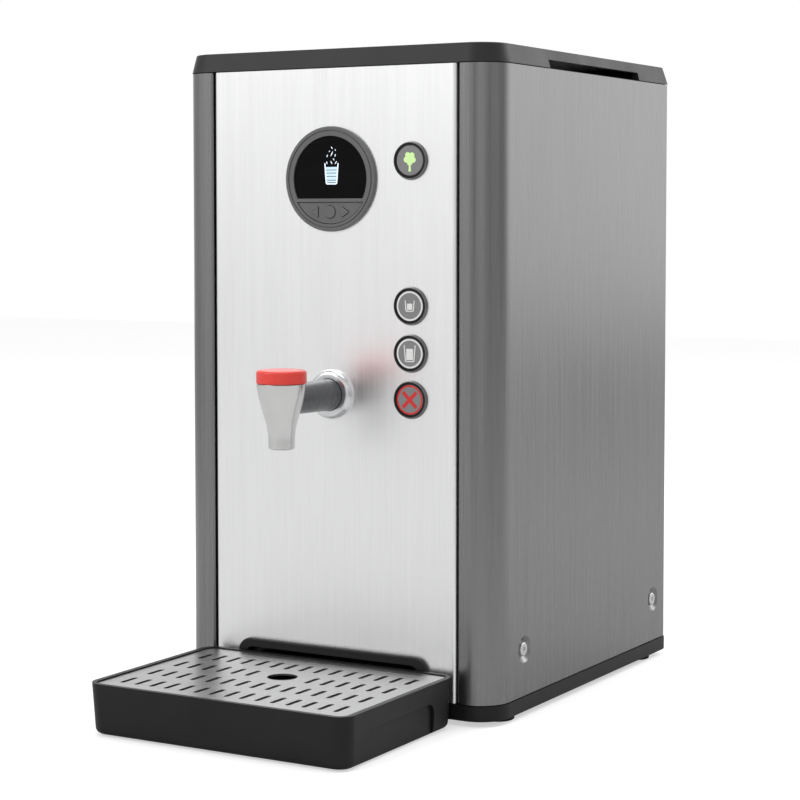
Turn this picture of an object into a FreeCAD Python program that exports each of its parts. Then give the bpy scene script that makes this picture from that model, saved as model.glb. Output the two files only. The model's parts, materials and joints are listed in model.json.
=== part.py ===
import FreeCAD, Part
import math
import os

# Countertop hot water dispenser, in millimetres.
# Modelled with X = 0 on the centre line, Y = 0 on the front panel's outer face with +Y to the
# rear, and Z = 0 on the counter. save() moves every piece along Y, so that the exported frame
# has its origin at the middle of the footprint.

# ---- overall sizes ----
BODY_W = 233.0
BODY_D = 267.0
BODY_H = 420.5
TRAY_REACH = 134.5
INLET_PROUD = 14.0

# ---- fits ----
SLIP = 0.05
HOLE_CLEAR = 0.1
PANEL_CLEAR = 0.2
KEY_CLEAR = 0.3
CAP_CLEAR = 0.35
TIP_CLEAR = 0.4
PAST = 1.0

# ---- sheet metal casing ----
SHEET = 1.2
METAL_Z0 = 13.5
LID_H = 12.5
LID_GAP = 0.6
CORNER_R = 20.5
REAR_BEND_R = 3.0
WRAP_FLAT = 3.25
PANEL_BEND_R = 2.5
SEAM_GAP = 1.5
SIDE_BEND_R = 1.6
RETURN_D = 12.0
REAR_CLEAR = 0.2

# ---- base and feet ----
SKIRT_Z0 = 3.1
SKIRT_WALL = 6.0
SKIRT_FLOOR = 3.0
SKIRT_PROUD = 0.5
SKIRT_EDGE_R = 1.5
SKIRT_TAIL_R = 6.0
SKIRT_DROP = 0.6
FOOT_R = 11.0
FOOT_IN_X = 13.5
FOOT_FRONT_Y = 30.0
FOOT_REAR_IN = 24.5
FOOT_STEM_R = 4.0
FOOT_STEM_L = 6.0
FLOOR_T = 1.5
FLOOR_FLANGE_H = 44.0

# ---- side screws ----
SCREW_Z = 43.0
SCREW_FRONT_Y = 41.5
SCREW_REAR_IN = 22.2
SCREW_HEAD_R = 4.4
SCREW_HEAD_H = 2.2
SCREW_SHANK_R = 1.95
SCREW_HOLE_R = 2.1
DISH_R = 8.5
DISH_SEAT_R = 5.2
DISH_DEPTH = 2.4
TORX_R = 2.0
TORX_CORE = 0.72
TORX_LOBE = 0.32
TORX_LOBE_AT = 0.68
TORX_FLOOR = 0.9
SCREW_EDGE = 0.7
REAR_SCREW_HEAD_R = 3.4
REAR_SCREW_HEAD_H = 1.8
REAR_SCREW_SHANK_R = 1.45

# ---- lid ----
LID_WALL = 2.5
LID_TAPER = 3.0
LID_OVERHANG = 0.4
LID_LIP_DROP = 6.0
LID_EDGE = 1.2
LID_LIP_T = 2.0
LID_LIP_CLEAR = 0.5
LID_SLOT_Y0 = 74.2
LID_SLOT_L = 140.3
LID_SLOT_H = 5.8

# ---- display ----
DISPLAY_Z = 338.3
RING_R = 33.2
RING_PROUD = 2.2
RING_BARREL_R = 29.4
RING_BARREL_L = 9.0
RING_WALL = 1.1
RING_GROOVE_R = 30.9
RING_GROOVE_W = 0.7
WINDOW_R = 27.1
WINDOW_FLAT = 12.3
WINDOW_RECESS = 1.0
WINDOW_T = 2.0
SCREEN_W = 36.0
SCREEN_H = 28.0
KEYPAD_TOP = 14.6
KEYPAD_R = 28.5
KEYPAD_T = 2.0
KEYPAD_RECESS = 0.5
KEY_DROP = 20.8
KEY_PROUD = 0.7
KEY_ROUND_R = 3.95
KEY_TRI_BASE = 8.7
KEY_TRI_TIP = 14.2
KEY_TRI_H = 6.9
KEY_FLANGE = 0.7
KEY_FLANGE_T = 0.8
KEY_TRAVEL = 0.6
BOARD_T = 1.6
HOUSING_R = 36.0
HOUSING_WALL = 2.0

# ---- push buttons ----
BUTTON_X = 57.9
ECO_Z = 349.1
SMALL_CUP_Z = 259.2
LARGE_CUP_Z = 229.7
STOP_Z = 200.9
BEZEL_R = 12.1
BEZEL_PROUD = 2.0
BEZEL_CHAMFER = 0.7
BEZEL_LIP = 0.4
BEZEL_LAND = 1.0
BARREL_R = 10.9
BARREL_L = 13.0
CAP_R = 9.4
CAP_PROUD = 1.7
CAP_T = 4.7
CAP_STEM_R = 4.0
CAP_STEM_L = 15.0
BUTTON_TRAVEL = 1.5
BUTTON_FLOOR_T = 1.8
SPRING_R = 6.0
SPRING_WIRE_R = 0.4
SPRING_TURNS = 4.0
REST_GAP = 0.05
NUT_R = 13.6
NUT_T = 3.8

# ---- tap ----
TAP_Z = 202.0
ROSETTE_R = 15.8
ROSETTE_PROUD = 4.5
ROSETTE_EDGE = 0.8
SPOUT_REACH = 58.2
ARM_R = 9.7
ARM_FLARE = 0.5
TAP_NUT_ACROSS = 24.0
TAP_NUT_T = 8.0
SHANK_R = 7.0
SHANK_L = 16.0
TAIL_R = 5.0
TAIL_L = 15.0
WATERWAY_R = 3.2
SPOUT_Z0 = 172.4
SPOUT_BODY_H = 40.2
SPOUT_TOP_R = 15.2
SPOUT_NECK_R = 8.3
SPOUT_NOZZLE_R = 8.05
SPOUT_NECK_UP = 12.5
SPOUT_SHOULDER_UP = 33.0
SPOUT_WAIST_R = 30.0
SPOUT_TAPER = 0.7
SPOUT_CHAMBER_UP = 31.5
SPOUT_BORE_R = 11.2
SPOUT_TIP_EDGE = 0.8
SPOUT_WAY_R = 5.2
SPOUT_CAP_H = 8.4
SPOUT_CAP_R = 15.45
CAP_SKIRT_L = 6.0
CAP_SKIRT_WALL = 1.6
SPOUT_CAP_EDGE = 1.6

# ---- drip tray ----
TRAY_Z0 = 1.0
TRAY_H = 31.4
TRAY_HALF_W = 92.7
TRAY_GAP = 4.0
TRAY_DRAFT = 1.6
TRAY_FRONT_R = 10.0
TRAY_REAR_R = 11.0
TRAY_FOOT_R = 4.0
TRAY_WALL = 3.0
TRAY_FLOOR = 2.5
GRIP_DEPTH = 3.0
GRIP_Z0 = 4.0
GRIP_H = 16.8
GRIP_Y0 = -117.0
GRIP_L = 86.0
GRIP_R = 7.0
TONGUE_HALF_W = 62.0
TONGUE_L = 42.0
TONGUE_Z0 = 16.0
TONGUE_H = 13.0
TONGUE_WALL = 2.0
GRID_T = 1.2
GRID_RIM = 3.6
GRID_CLEAR = 0.35
GRID_R = 5.6
GRID_DOWN = 0.8
GRID_HOLE_R = 9.4
SLOT_COLUMNS = 15
SLOT_PITCH_X = 10.9
SLOT_ROWS = 4
SLOT_PITCH_Y = 27.1
SLOT_L = 16.0
SLOT_W = 3.2
LEDGE_W = 3.1

# ---- arch collar ----
ARCH_HALF_W = 70.5
ARCH_TOP = 40.1
ARCH_R = 9.5
ARCH_BAND = 5.5
ARCH_PROUD = 3.5
ARCH_SPIGOT = 7.0
ARCH_SPIGOT_IN = 3.0
ARCH_FOOT_Z = 14.8
ARCH_EDGE = 1.2

# ---- boiler ----
TANK_R = 72.0
TANK_T = 1.0
TANK_Y = 168.0
TANK_Z0 = 40.0
TANK_H = 305.0
TANK_RIM = 12.0
RIM_T = 2.0
GASKET_T = 1.5
BOILER_LID_T = 2.5
LID_BOLTS = 6
LID_BOLT_R = 2.0
LID_BOLT_IN = 4.0
JACKET_T = 12.0
JACKET_CLEAR = 0.05
JACKET_SPLIT = 0.8
STAND_T = 2.0
OUTLET_R = 6.0
ELEMENT_R = 4.0
ELEMENT_HALF = 16.0
ELEMENT_FLANGE_R = 30.0
ELEMENT_FLANGE_T = 4.0
PROBE_R = 2.0

# ---- valves and hoses ----
VALVE_W = 30.0
VALVE_H = 24.0
VALVE_D = 26.0
COIL_R = 13.0
COIL_H = 32.0
HOSE_R = 5.5
HOSE_WALL = 1.5
HOSE_BEND = 16.0
INLET_X = 72.0
INLET_Z = 50.0
INLET_R = 13.2
INLET_BORE_R = 8.0
INLET_STEP = 0.7
INLET_CLEAR = 0.5
OVERFLOW_X = 34.0
OVERFLOW_Y = 58.0

# ---- electrics ----
BRACKET_Y = 46.0
BRACKET_X0 = -106.0
BRACKET_W = 78.0
BRACKET_TOP = 300.0
BRACKET_T = 1.5
MAIN_BOARD_Z0 = 92.0
MAIN_BOARD_H = 196.0
MAIN_BOARD_MARGIN = 4.0
BOARD_POST = 5.0
GLAND_X = -76.0
GLAND_Z = 40.0
GLAND_R = 11.0
GLAND_BORE_R = 4.5
GLAND_PROUD = 12.0
GLAND_THREAD = 0.75
SWITCH_X = -76.0
SWITCH_Z = 96.0
SWITCH_W = 22.0
SWITCH_H = 28.0
SWITCH_LIP = 2.0
SWITCH_DEPTH = 22.0
ROCKER_CLEAR = 0.4
ROCKER_TILT = 8.0

# ---- rear panel ----
LOUVRE_ROWS = 7
LOUVRE_PITCH = 9.0
LOUVRE_DOWN = 34.0
LOUVRE_L = 62.0
LOUVRE_H = 4.2
LOUVRE_SPREAD = 0.62
REAR_SCREW_IN = 13.0
REAR_SCREW_ZS = (28.0, 210.0, 390.0)

# ---- small edges, marks and supports ----
FOOT_EDGE = 0.8
RING_GROOVE_D = 0.6
RING_EDGE = 0.8
SCREW_SHANK_L = 7.0
REAR_SCREW_EDGE = 0.9
REAR_SCREW_TOP = 3.0
REAR_SCREW_PAST = 4.0
REAR_SCREW_SLOT = 0.8
REAR_CROSS_R = 2.2
FLOOR_IN = 4.0
LID_NOTCH = 5.0
LID_NOTCH_BACK = 2.0
HOUSING_SLOT_X = 8.0
HOUSING_SLOT_Z = 3.0
BOARD_HALF_W = 13.0
BOARD_END = 14.0
NUT_NOTCH_R = 1.4
TACT_HALF = 6.0
TACT_H = 1.6
PILLAR_X = 9.0
PILLAR_R = 2.5

# ---- worked-out places ----
PANEL_Y = (TRAY_REACH - BODY_D - INLET_PROUD) / 2.0
HALF_W = BODY_W / 2.0
METAL_Z1 = BODY_H - LID_H
PANEL_W = BODY_W - 2.0 * (CORNER_R + WRAP_FLAT + SIDE_BEND_R + SEAM_GAP)
SEAM_X = PANEL_W / 2.0 + SEAM_GAP
FLOOR_Z = METAL_Z0 - 0.4
DISH_BACK_X = HALF_W - DISH_DEPTH - SHEET
REAR_PANEL_Y = BODY_D - SHEET - REAR_CLEAR
TRAY_TOP = TRAY_Z0 + TRAY_H
GRID_TOP = TRAY_TOP - GRID_DOWN
LEDGE_Z = GRID_TOP - GRID_T
BUTTON_BOARD_Y = CAP_STEM_L - CAP_PROUD + CAP_T - 1.0 + BUTTON_TRAVEL + 2.0
BUTTONS = (
    ("eco", ECO_Z),
    ("small_cup", SMALL_CUP_Z),
    ("large_cup", LARGE_CUP_Z),
    ("stop", STOP_Z),
)
KEYS = ("menu_left", "menu_select", "menu_right")
SCREW_YS = (SCREW_FRONT_Y, BODY_D - SCREW_REAR_IN)
FOOT_YS = (FOOT_FRONT_Y, BODY_D - FOOT_REAR_IN)


# ---- shape helpers ----
def vec(x, y, z):
    """Return a FreeCAD vector."""
    return FreeCAD.Vector(x, y, z)


X_AXIS = vec(1, 0, 0)
Y_AXIS = vec(0, 1, 0)
Z_AXIS = vec(0, 0, 1)


def box(x0, x1, y0, y1, z0, z1):
    """Box between two corners."""
    return Part.makeBox(x1 - x0, y1 - y0, z1 - z0, vec(x0, y0, z0))


def rod(radius, start, direction, length):
    """Round bar from a point along a direction."""
    return Part.makeCylinder(radius, length, start, direction)


def tube(outer, inner, start, direction, length):
    """Round tube from a point along a direction."""
    return rod(outer, start, direction, length).cut(rod(inner, start, direction, length))


def y_disc(radius, x, z, y0, y1):
    """Disc or bar that runs along Y at (x, z)."""
    return rod(radius, vec(x, y0, z), Y_AXIS, y1 - y0)


def y_tube(outer, inner, x, z, y0, y1):
    """Tube that runs along Y at (x, z)."""
    return tube(outer, inner, vec(x, y0, z), Y_AXIS, y1 - y0)


def fuse(shapes):
    """Join shapes into one solid with its seams removed."""
    first = shapes[0]
    return first.multiFuse(shapes[1:]).removeSplitter() if len(shapes) > 1 else first


def group(shapes):
    """Keep shapes as separate solids of one node."""
    return Part.makeCompound(shapes)


def corner_arc(corner, before, after, radius):
    """Arc of a radius that rounds one corner, with its two ends."""
    to_before = (before - corner).normalize()
    to_after = (after - corner).normalize()
    half = to_before.getAngle(to_after) / 2.0
    reach = radius / math.tan(half)
    start = corner + to_before * reach
    end = corner + to_after * reach
    bisector = (to_before + to_after).normalize()
    middle = corner + bisector * (radius / math.sin(half) - radius)
    return start, middle, end


def rounded_wire(points, radii, closed=True):
    """Wire through points, with a rounded corner wherever the radius is above zero."""
    count = len(points)
    edges = []
    pen = None
    first = None
    for i, (point, radius) in enumerate(zip(points, radii)):
        inside = closed or 0 < i < count - 1
        if radius > 0 and inside:
            start, middle, end = corner_arc(point, points[i - 1], points[(i + 1) % count], radius)
        else:
            start = end = point
        if pen is not None and pen.distanceToPoint(start) > 1e-6:
            edges.append(Part.LineSegment(pen, start).toShape())
        if radius > 0 and inside:
            edges.append(Part.Arc(start, middle, end).toShape())
        if first is None:
            first = start
        pen = end
    if closed and pen.distanceToPoint(first) > 1e-6:
        edges.append(Part.LineSegment(pen, first).toShape())
    return Part.Wire(edges)


def plan_wire(x0, x1, y0, y1, z, radii):
    """Level rectangle with corner radii in the order front-left, front-right, rear-right, rear-left."""
    points = [vec(x0, y0, z), vec(x1, y0, z), vec(x1, y1, z), vec(x0, y1, z)]
    return rounded_wire(points, radii)


def plan_prism(x0, x1, y0, y1, z0, z1, radii):
    """Upright prism on a rounded rectangle."""
    return Part.Face(plan_wire(x0, x1, y0, y1, z0, radii)).extrude(vec(0, 0, z1 - z0))


def front_prism(points, radii, y0, y1):
    """Prism along Y on an outline of (x, z) points."""
    wire = rounded_wire([vec(x, y0, z) for x, z in points], radii)
    return Part.Face(wire).extrude(vec(0, y1 - y0, 0))


def side_prism(points, radii, x0, x1):
    """Prism along X on an outline of (y, z) points."""
    wire = rounded_wire([vec(x0, y, z) for y, z in points], radii)
    return Part.Face(wire).extrude(vec(x1 - x0, 0, 0))


def swept(points, bend, radius):
    """Round bar along straight runs joined by bends."""
    radii = [0.0] + [bend] * (len(points) - 2) + [0.0]
    path = rounded_wire(points, radii, closed=False)
    direction = (points[1] - points[0]).normalize()
    circle = Part.Wire([Part.Circle(points[0], direction, radius).toShape()])
    return path.makePipeShell([circle], True, False)


def hose(points, bend=HOSE_BEND, outer=HOSE_R, wall=HOSE_WALL):
    """Hollow hose along straight runs joined by bends."""
    return swept(points, bend, outer).cut(swept(points, bend, outer - wall))


def d_shape(radius, drop, y0, y1, grow=0.0):
    """Display disc cut flat below its centre."""
    disc = y_disc(radius + grow, 0.0, DISPLAY_Z, y0, y1)
    keep = box(-RING_R, RING_R, y0, y1, DISPLAY_Z - drop - grow, DISPLAY_Z + RING_R)
    return disc.common(keep)


def segment_shape(radius, drop, y0, y1, grow=0.0):
    """Lower part of a disc, below a flat cut."""
    disc = y_disc(radius + grow, 0.0, DISPLAY_Z, y0, y1)
    keep = box(-RING_R, RING_R, y0, y1, DISPLAY_Z - RING_R, DISPLAY_Z - drop + grow)
    return disc.common(keep)


def key_outline(name, grow, y0, y1):
    """Solid of a menu key's outline: a triangle to the left or right, or a disc in the middle."""
    z = DISPLAY_Z - KEY_DROP
    if name == "menu_select":
        return y_disc(KEY_ROUND_R + grow, 0.0, z, y0, y1)
    sign = -1.0 if name == "menu_left" else 1.0
    half = KEY_TRI_H / 2.0 + grow * 1.6
    base = sign * (KEY_TRI_BASE - grow)
    tip = sign * (KEY_TRI_TIP + grow * 1.8)
    points = [(base, z - half), (tip, z), (base, z + half)]
    return front_prism(points, [0.3 + grow] * 3, y0, y1)


def save(name, shape):
    """Write one node, moved into the exported frame."""
    moved = shape.copy()
    moved.translate(vec(0, PANEL_Y, 0))
    moved.exportStep("parts/" + name + ".step")


# ---- base ----
def skirt_outline(grow, z0, z1):
    """Upright prism of the casing's plan, grown or shrunk evenly."""
    front = CORNER_R + grow
    rear = max(REAR_BEND_R + grow, 0.5)
    radii = [front, front, rear, rear]
    return plan_prism(-HALF_W - grow, HALF_W + grow, -grow, BODY_D + grow, z0, z1, radii)


def base_skirt():
    """Black plastic plinth, open at the top, with a rounded tail and holes for the feet."""
    top = METAL_Z0 - SKIRT_DROP
    body = skirt_outline(SKIRT_PROUD, SKIRT_Z0, top)
    low = [e for e in body.Edges if abs(e.BoundBox.ZMax - SKIRT_Z0) < 1e-6]
    body = body.makeFillet(SKIRT_EDGE_R, low)
    tail_y = BODY_D + SKIRT_PROUD
    corner = box(-BODY_W, BODY_W, tail_y - SKIRT_TAIL_R, tail_y + PAST,
                 SKIRT_Z0 - PAST, SKIRT_Z0 + SKIRT_TAIL_R)
    axis_start = vec(-BODY_W, tail_y - SKIRT_TAIL_R, SKIRT_Z0 + SKIRT_TAIL_R)
    body = body.cut(corner.cut(rod(SKIRT_TAIL_R, axis_start, X_AXIS, 2 * BODY_W)))
    hollow = skirt_outline(-SKIRT_WALL, SKIRT_Z0 + SKIRT_FLOOR, top + PAST)
    body = body.cut(hollow)
    for x, y in foot_places():
        body = body.cut(rod(FOOT_STEM_R + SLIP, vec(x, y, 0), Z_AXIS, METAL_Z0))
    return body


def foot_places():
    """Centres of the four feet in plan."""
    x = HALF_W - FOOT_IN_X
    return [(side * x, y) for side in (-1, 1) for y in FOOT_YS]


def rubber_feet():
    """Four round rubber feet with a stem through the plinth."""
    feet = []
    for x, y in foot_places():
        pad = rod(FOOT_R, vec(x, y, 0), Z_AXIS, SKIRT_Z0)
        pad = pad.makeFillet(FOOT_EDGE, [e for e in pad.Edges if e.BoundBox.ZMax < 0.1])
        stem = rod(FOOT_STEM_R, vec(x, y, SKIRT_Z0), Z_AXIS, FOOT_STEM_L)
        feet.append(fuse([pad, stem]))
    return group(feet)


def chassis_floor():
    """Folded steel floor with upturned sides that take the side screws."""
    x = DISH_BACK_X - REAR_CLEAR
    y0 = CORNER_R - SHEET
    y1 = REAR_PANEL_Y - SHEET - REAR_CLEAR
    floor = box(-x, x, y0, y1, FLOOR_Z, FLOOR_Z + FLOOR_T)
    front = box(-SEAM_X + FLOOR_IN, SEAM_X - FLOOR_IN, SHEET + REAR_CLEAR, y0, FLOOR_Z, FLOOR_Z + FLOOR_T)
    left = box(-x, -x + FLOOR_T, y0, y1, FLOOR_Z, FLOOR_Z + FLOOR_FLANGE_H)
    right = box(x - FLOOR_T, x, y0, y1, FLOOR_Z, FLOOR_Z + FLOOR_FLANGE_H)
    body = fuse([floor, front, left, right])
    for y in SCREW_YS:
        body = body.cut(rod(SCREW_HOLE_R, vec(-BODY_W, y, SCREW_Z), X_AXIS, 2 * BODY_W))
    return body


# ---- casing ----
def side_panel(sign):
    """Wrap-round side panel: front flange, rounded corner, side and rear flange, with screw dishes."""
    outer = plan_prism(SEAM_X, HALF_W, 0, BODY_D, METAL_Z0, METAL_Z1,
                       [SIDE_BEND_R, CORNER_R, REAR_BEND_R, 0.0])
    inner = plan_prism(SEAM_X + SHEET, HALF_W - SHEET, SHEET, BODY_D - SHEET, METAL_Z0, METAL_Z1,
                       [SIDE_BEND_R - SHEET, CORNER_R - SHEET, REAR_BEND_R - SHEET, 0.0])
    body = outer.cut(inner)
    body = body.cut(box(SEAM_X - PAST, SEAM_X + SHEET + 0.01, RETURN_D, BODY_D - SHEET, 0, BODY_H))
    for y in SCREW_YS:
        body = body.cut(rod(DISH_R, vec(HALF_W - SHEET - 1, y, SCREW_Z), X_AXIS, SHEET + 2))
        body = body.fuse(screw_dish(y))
    body = body.removeSplitter()
    if sign < 0:
        body = body.mirror(vec(0, 0, 0), X_AXIS)
    return body


def screw_dish(y):
    """Pressed round dish around one side screw."""
    profile = [
        (DISH_R, 0.0),
        (DISH_SEAT_R, -DISH_DEPTH),
        (SCREW_HOLE_R, -DISH_DEPTH),
        (SCREW_HOLE_R, -DISH_DEPTH - SHEET),
        (DISH_SEAT_R + 0.3, -DISH_DEPTH - SHEET),
        (DISH_R, -SHEET),
    ]
    centre = vec(HALF_W, y, SCREW_Z)
    points = [centre + Z_AXIS * r + X_AXIS * h for r, h in profile]
    wire = rounded_wire(points, [0.0] * len(points))
    return Part.Face(wire).revolve(centre, X_AXIS, 360)


def side_screws():
    """Four star-socket screws, two on each side."""
    screws = []
    seat = HALF_W - DISH_DEPTH
    for sign in (-1, 1):
        out = X_AXIS * sign
        for y in SCREW_YS:
            base = vec(sign * seat, y, SCREW_Z)
            head = rod(SCREW_HEAD_R, base, out, SCREW_HEAD_H)
            rim = [e for e in head.Edges if abs(abs(e.CenterOfMass.x) - seat - SCREW_HEAD_H) < 1e-3]
            head = head.makeFillet(SCREW_EDGE, rim)
            cutters = [rod(TORX_R * TORX_CORE, base + out * TORX_FLOOR, out, SCREW_HEAD_H)]
            for i in range(6):
                angle = i * math.pi / 3.0
                lobe = vec(0, math.cos(angle), math.sin(angle)) * (TORX_R * TORX_LOBE_AT)
                cutters.append(rod(TORX_R * TORX_LOBE, base + lobe + out * TORX_FLOOR, out, SCREW_HEAD_H))
            socket = fuse(cutters)
            shank = rod(SCREW_SHANK_R, base - out * SCREW_SHANK_L, out, SCREW_SHANK_L)
            screws.append(fuse([head.cut(socket), shank]))
    return group(screws)


def front_panel():
    """Bright front sheet with returned edges and holes for the display, buttons, tap and arch."""
    half = PANEL_W / 2.0
    outer = plan_prism(-half, half, 0, RETURN_D, METAL_Z0, METAL_Z1, [PANEL_BEND_R, PANEL_BEND_R, 0, 0])
    bend = PANEL_BEND_R - SHEET
    inner = plan_prism(-half + SHEET, half - SHEET, SHEET, RETURN_D, METAL_Z0, METAL_Z1, [bend, bend, 0, 0])
    body = outer.cut(inner)
    body = body.cut(y_disc(RING_BARREL_R + PANEL_CLEAR, 0.0, DISPLAY_Z, -PAST, SHEET + PAST))
    for _, z in BUTTONS:
        body = body.cut(y_disc(BARREL_R + HOLE_CLEAR, BUTTON_X, z, -PAST, SHEET + PAST))
    body = body.cut(y_disc(SHANK_R + KEY_CLEAR, 0.0, TAP_Z, -PAST, SHEET + PAST))
    hole = arch_outline(ARCH_SPIGOT_IN - PANEL_CLEAR, METAL_Z0 - PAST, -PAST, SHEET + PAST)
    return body.cut(hole)


def rear_panel():
    """Flat rear sheet with louvre slots and holes for the fittings."""
    y0 = REAR_PANEL_Y - SHEET
    half = HALF_W - SHEET - REAR_BEND_R
    body = box(-half, half, y0, REAR_PANEL_Y, METAL_Z0 + 0.5, METAL_Z1 - LID_LIP_DROP - 1)
    cutters = [
        y_disc(INLET_R + INLET_CLEAR, INLET_X, INLET_Z, y0 - PAST, BODY_D),
        y_disc(GLAND_R * GLAND_THREAD + PANEL_CLEAR, GLAND_X, GLAND_Z, y0 - PAST, BODY_D),
        box(SWITCH_X - SWITCH_W / 2 - HOLE_CLEAR, SWITCH_X + SWITCH_W / 2 + HOLE_CLEAR, y0 - PAST, BODY_D,
            SWITCH_Z - SWITCH_H / 2 - HOLE_CLEAR, SWITCH_Z + SWITCH_H / 2 + HOLE_CLEAR),
    ]
    for x, z in rear_screw_places():
        cutters.append(y_disc(REAR_SCREW_SHANK_R + HOLE_CLEAR, x, z, y0 - PAST, BODY_D))
    body = body.cut(Part.makeCompound(cutters))
    louvres = []
    for row in range(LOUVRE_ROWS):
        z = METAL_Z1 - LOUVRE_DOWN - row * LOUVRE_PITCH
        for side in (-1, 1):
            x = side * LOUVRE_L * LOUVRE_SPREAD
            ends = [(x - LOUVRE_L / 2, z), (x + LOUVRE_L / 2, z),
                    (x + LOUVRE_L / 2, z + LOUVRE_H), (x - LOUVRE_L / 2, z + LOUVRE_H)]
            louvres.append(front_prism(ends, [LOUVRE_H * 0.45] * 4, y0 - PAST, BODY_D))
    return body.cut(Part.makeCompound(louvres))


def rear_screw_places():
    """Places of the rear screws, three on each edge."""
    x = HALF_W - REAR_SCREW_IN
    return [(side * x, z) for side in (-1, 1) for z in REAR_SCREW_ZS]


def rear_screws():
    """Six pan-head screws through the side panels' rear flanges into the rear panel."""
    screws = []
    cut = REAR_SCREW_SLOT / 2.0
    low = BODY_D + REAR_SCREW_EDGE
    high = BODY_D + REAR_SCREW_TOP
    for x, z in rear_screw_places():
        head = y_disc(REAR_SCREW_HEAD_R, x, z, BODY_D, BODY_D + REAR_SCREW_HEAD_H)
        rim = [e for e in head.Edges if abs(e.CenterOfMass.y - BODY_D - REAR_SCREW_HEAD_H) < 1e-3]
        head = head.makeFillet(REAR_SCREW_EDGE, rim)
        slot = box(x - REAR_CROSS_R, x + REAR_CROSS_R, low, high, z - cut, z + cut)
        slot = slot.common(y_disc(REAR_CROSS_R, x, z, low, high))
        cross = box(x - cut, x + cut, low, high, z - REAR_CROSS_R, z + REAR_CROSS_R)
        shank = y_disc(REAR_SCREW_SHANK_R, x, z, REAR_PANEL_Y - SHEET - REAR_SCREW_PAST, BODY_D)
        screws.append(fuse([head.cut(slot).cut(cross), shank]))
    return group(screws)


def side_panel_with_rear_holes(sign):
    """Side panel with the clearance holes of the rear screws."""
    body = side_panel(sign)
    for x, z in rear_screw_places():
        body = body.cut(y_disc(REAR_SCREW_SHANK_R + HOLE_CLEAR, x, z, BODY_D - SHEET - 0.1, BODY_D + 1))
    return body


def top_lid():
    """Plastic lid: tapered shell with a locating lip and a slot in each long edge."""
    z0 = METAL_Z1 + LID_GAP
    grow = LID_OVERHANG
    front = CORNER_R + grow
    rear = REAR_BEND_R + grow
    low = plan_wire(-HALF_W - grow, HALF_W + grow, -grow, BODY_D + grow, z0, [front, front, rear, rear])
    inset = LID_TAPER
    high = plan_wire(-HALF_W - grow + inset, HALF_W + grow - inset, inset - grow, BODY_D + grow - inset,
                     BODY_H,
                     [front - inset, front - inset, rear, rear])
    body = Part.makeLoft([low, high], True, True)
    top_edges = [e for e in body.Edges if e.BoundBox.ZMin > BODY_H - 1e-4]
    body = body.makeFillet(LID_EDGE, top_edges)
    hollow = skirt_outline(-LID_WALL - inset, z0 - 1, BODY_H - LID_WALL)
    body = body.cut(hollow)
    lip_out = -SHEET - LID_LIP_CLEAR
    lip = skirt_outline(lip_out, METAL_Z1 - LID_LIP_DROP, z0 + 2.0)
    lip = lip.cut(skirt_outline(lip_out - LID_LIP_T, METAL_Z1 - LID_LIP_DROP - 1, z0 + 3.0))
    # The lip is notched where the panels' returned edges stand
    for side in (-1, 1):
        x = side * (PANEL_W / 2.0 + SEAM_GAP / 2.0)
        lip = lip.cut(box(x - LID_NOTCH, x + LID_NOTCH, 0, RETURN_D + LID_NOTCH_BACK, 0, z0))
    body = fuse([body, lip])
    for side in (-1, 1):
        x0 = side * (HALF_W + 2)
        x1 = side * (HALF_W - LID_TAPER - LID_WALL - 1)
        low_x = min(x0, x1)
        high_x = max(x0, x1)
        body = body.cut(box(low_x, high_x, LID_SLOT_Y0, LID_SLOT_Y0 + LID_SLOT_L, z0 - 0.01, METAL_Z1 + LID_SLOT_H))
    return body


# ---- display ----
def display_ring():
    """Round bezel with a window opening, a key pad opening and a hollow barrel through the panel."""
    face = y_disc(RING_R, 0.0, DISPLAY_Z, -RING_PROUD, 0.0)
    rim = [e for e in face.Edges if abs(e.CenterOfMass.y + RING_PROUD) < 1e-3]
    face = face.makeFillet(RING_EDGE, rim)
    groove_in = RING_GROOVE_R - RING_GROOVE_W
    groove = y_tube(RING_GROOVE_R, groove_in, 0.0, DISPLAY_Z, -RING_PROUD - PAST, -RING_PROUD + RING_GROOVE_D)
    face = face.cut(groove)
    barrel = y_disc(RING_BARREL_R, 0.0, DISPLAY_Z, 0.0, RING_BARREL_L)
    body = fuse([face, barrel])
    body = body.cut(d_shape(WINDOW_R, WINDOW_FLAT, -RING_PROUD - PAST, RING_BARREL_L + PAST, SLIP))
    body = body.cut(segment_shape(KEYPAD_R, KEYPAD_TOP, -RING_PROUD - PAST, RING_BARREL_L + PAST, SLIP))
    return body.cut(y_disc(RING_BARREL_R - RING_WALL, 0.0, DISPLAY_Z, RING_WALL, RING_BARREL_L + PAST))


def display_window():
    """Dark clear window."""
    y0 = -RING_PROUD + WINDOW_RECESS
    return d_shape(WINDOW_R, WINDOW_FLAT, y0, y0 + WINDOW_T)


def key_pad():
    """Pad below the window, with openings for the three menu keys."""
    y0 = -RING_PROUD + KEYPAD_RECESS
    body = segment_shape(KEYPAD_R, KEYPAD_TOP, y0, y0 + KEYPAD_T, -CAP_CLEAR)
    for name in KEYS:
        body = body.cut(key_outline(name, KEY_CLEAR, y0 - 1, y0 + KEYPAD_T + 1))
    return body


def menu_key(name):
    """Menu key: raised face, body through the pad and a flange behind it."""
    pad_y = -RING_PROUD + KEYPAD_RECESS
    back = pad_y + KEYPAD_T + KEY_CLEAR
    face = key_outline(name, 0.0, pad_y - KEY_PROUD, back)
    flange = key_outline(name, KEY_FLANGE, back, back + KEY_FLANGE_T)
    return fuse([face, flange])


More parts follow.
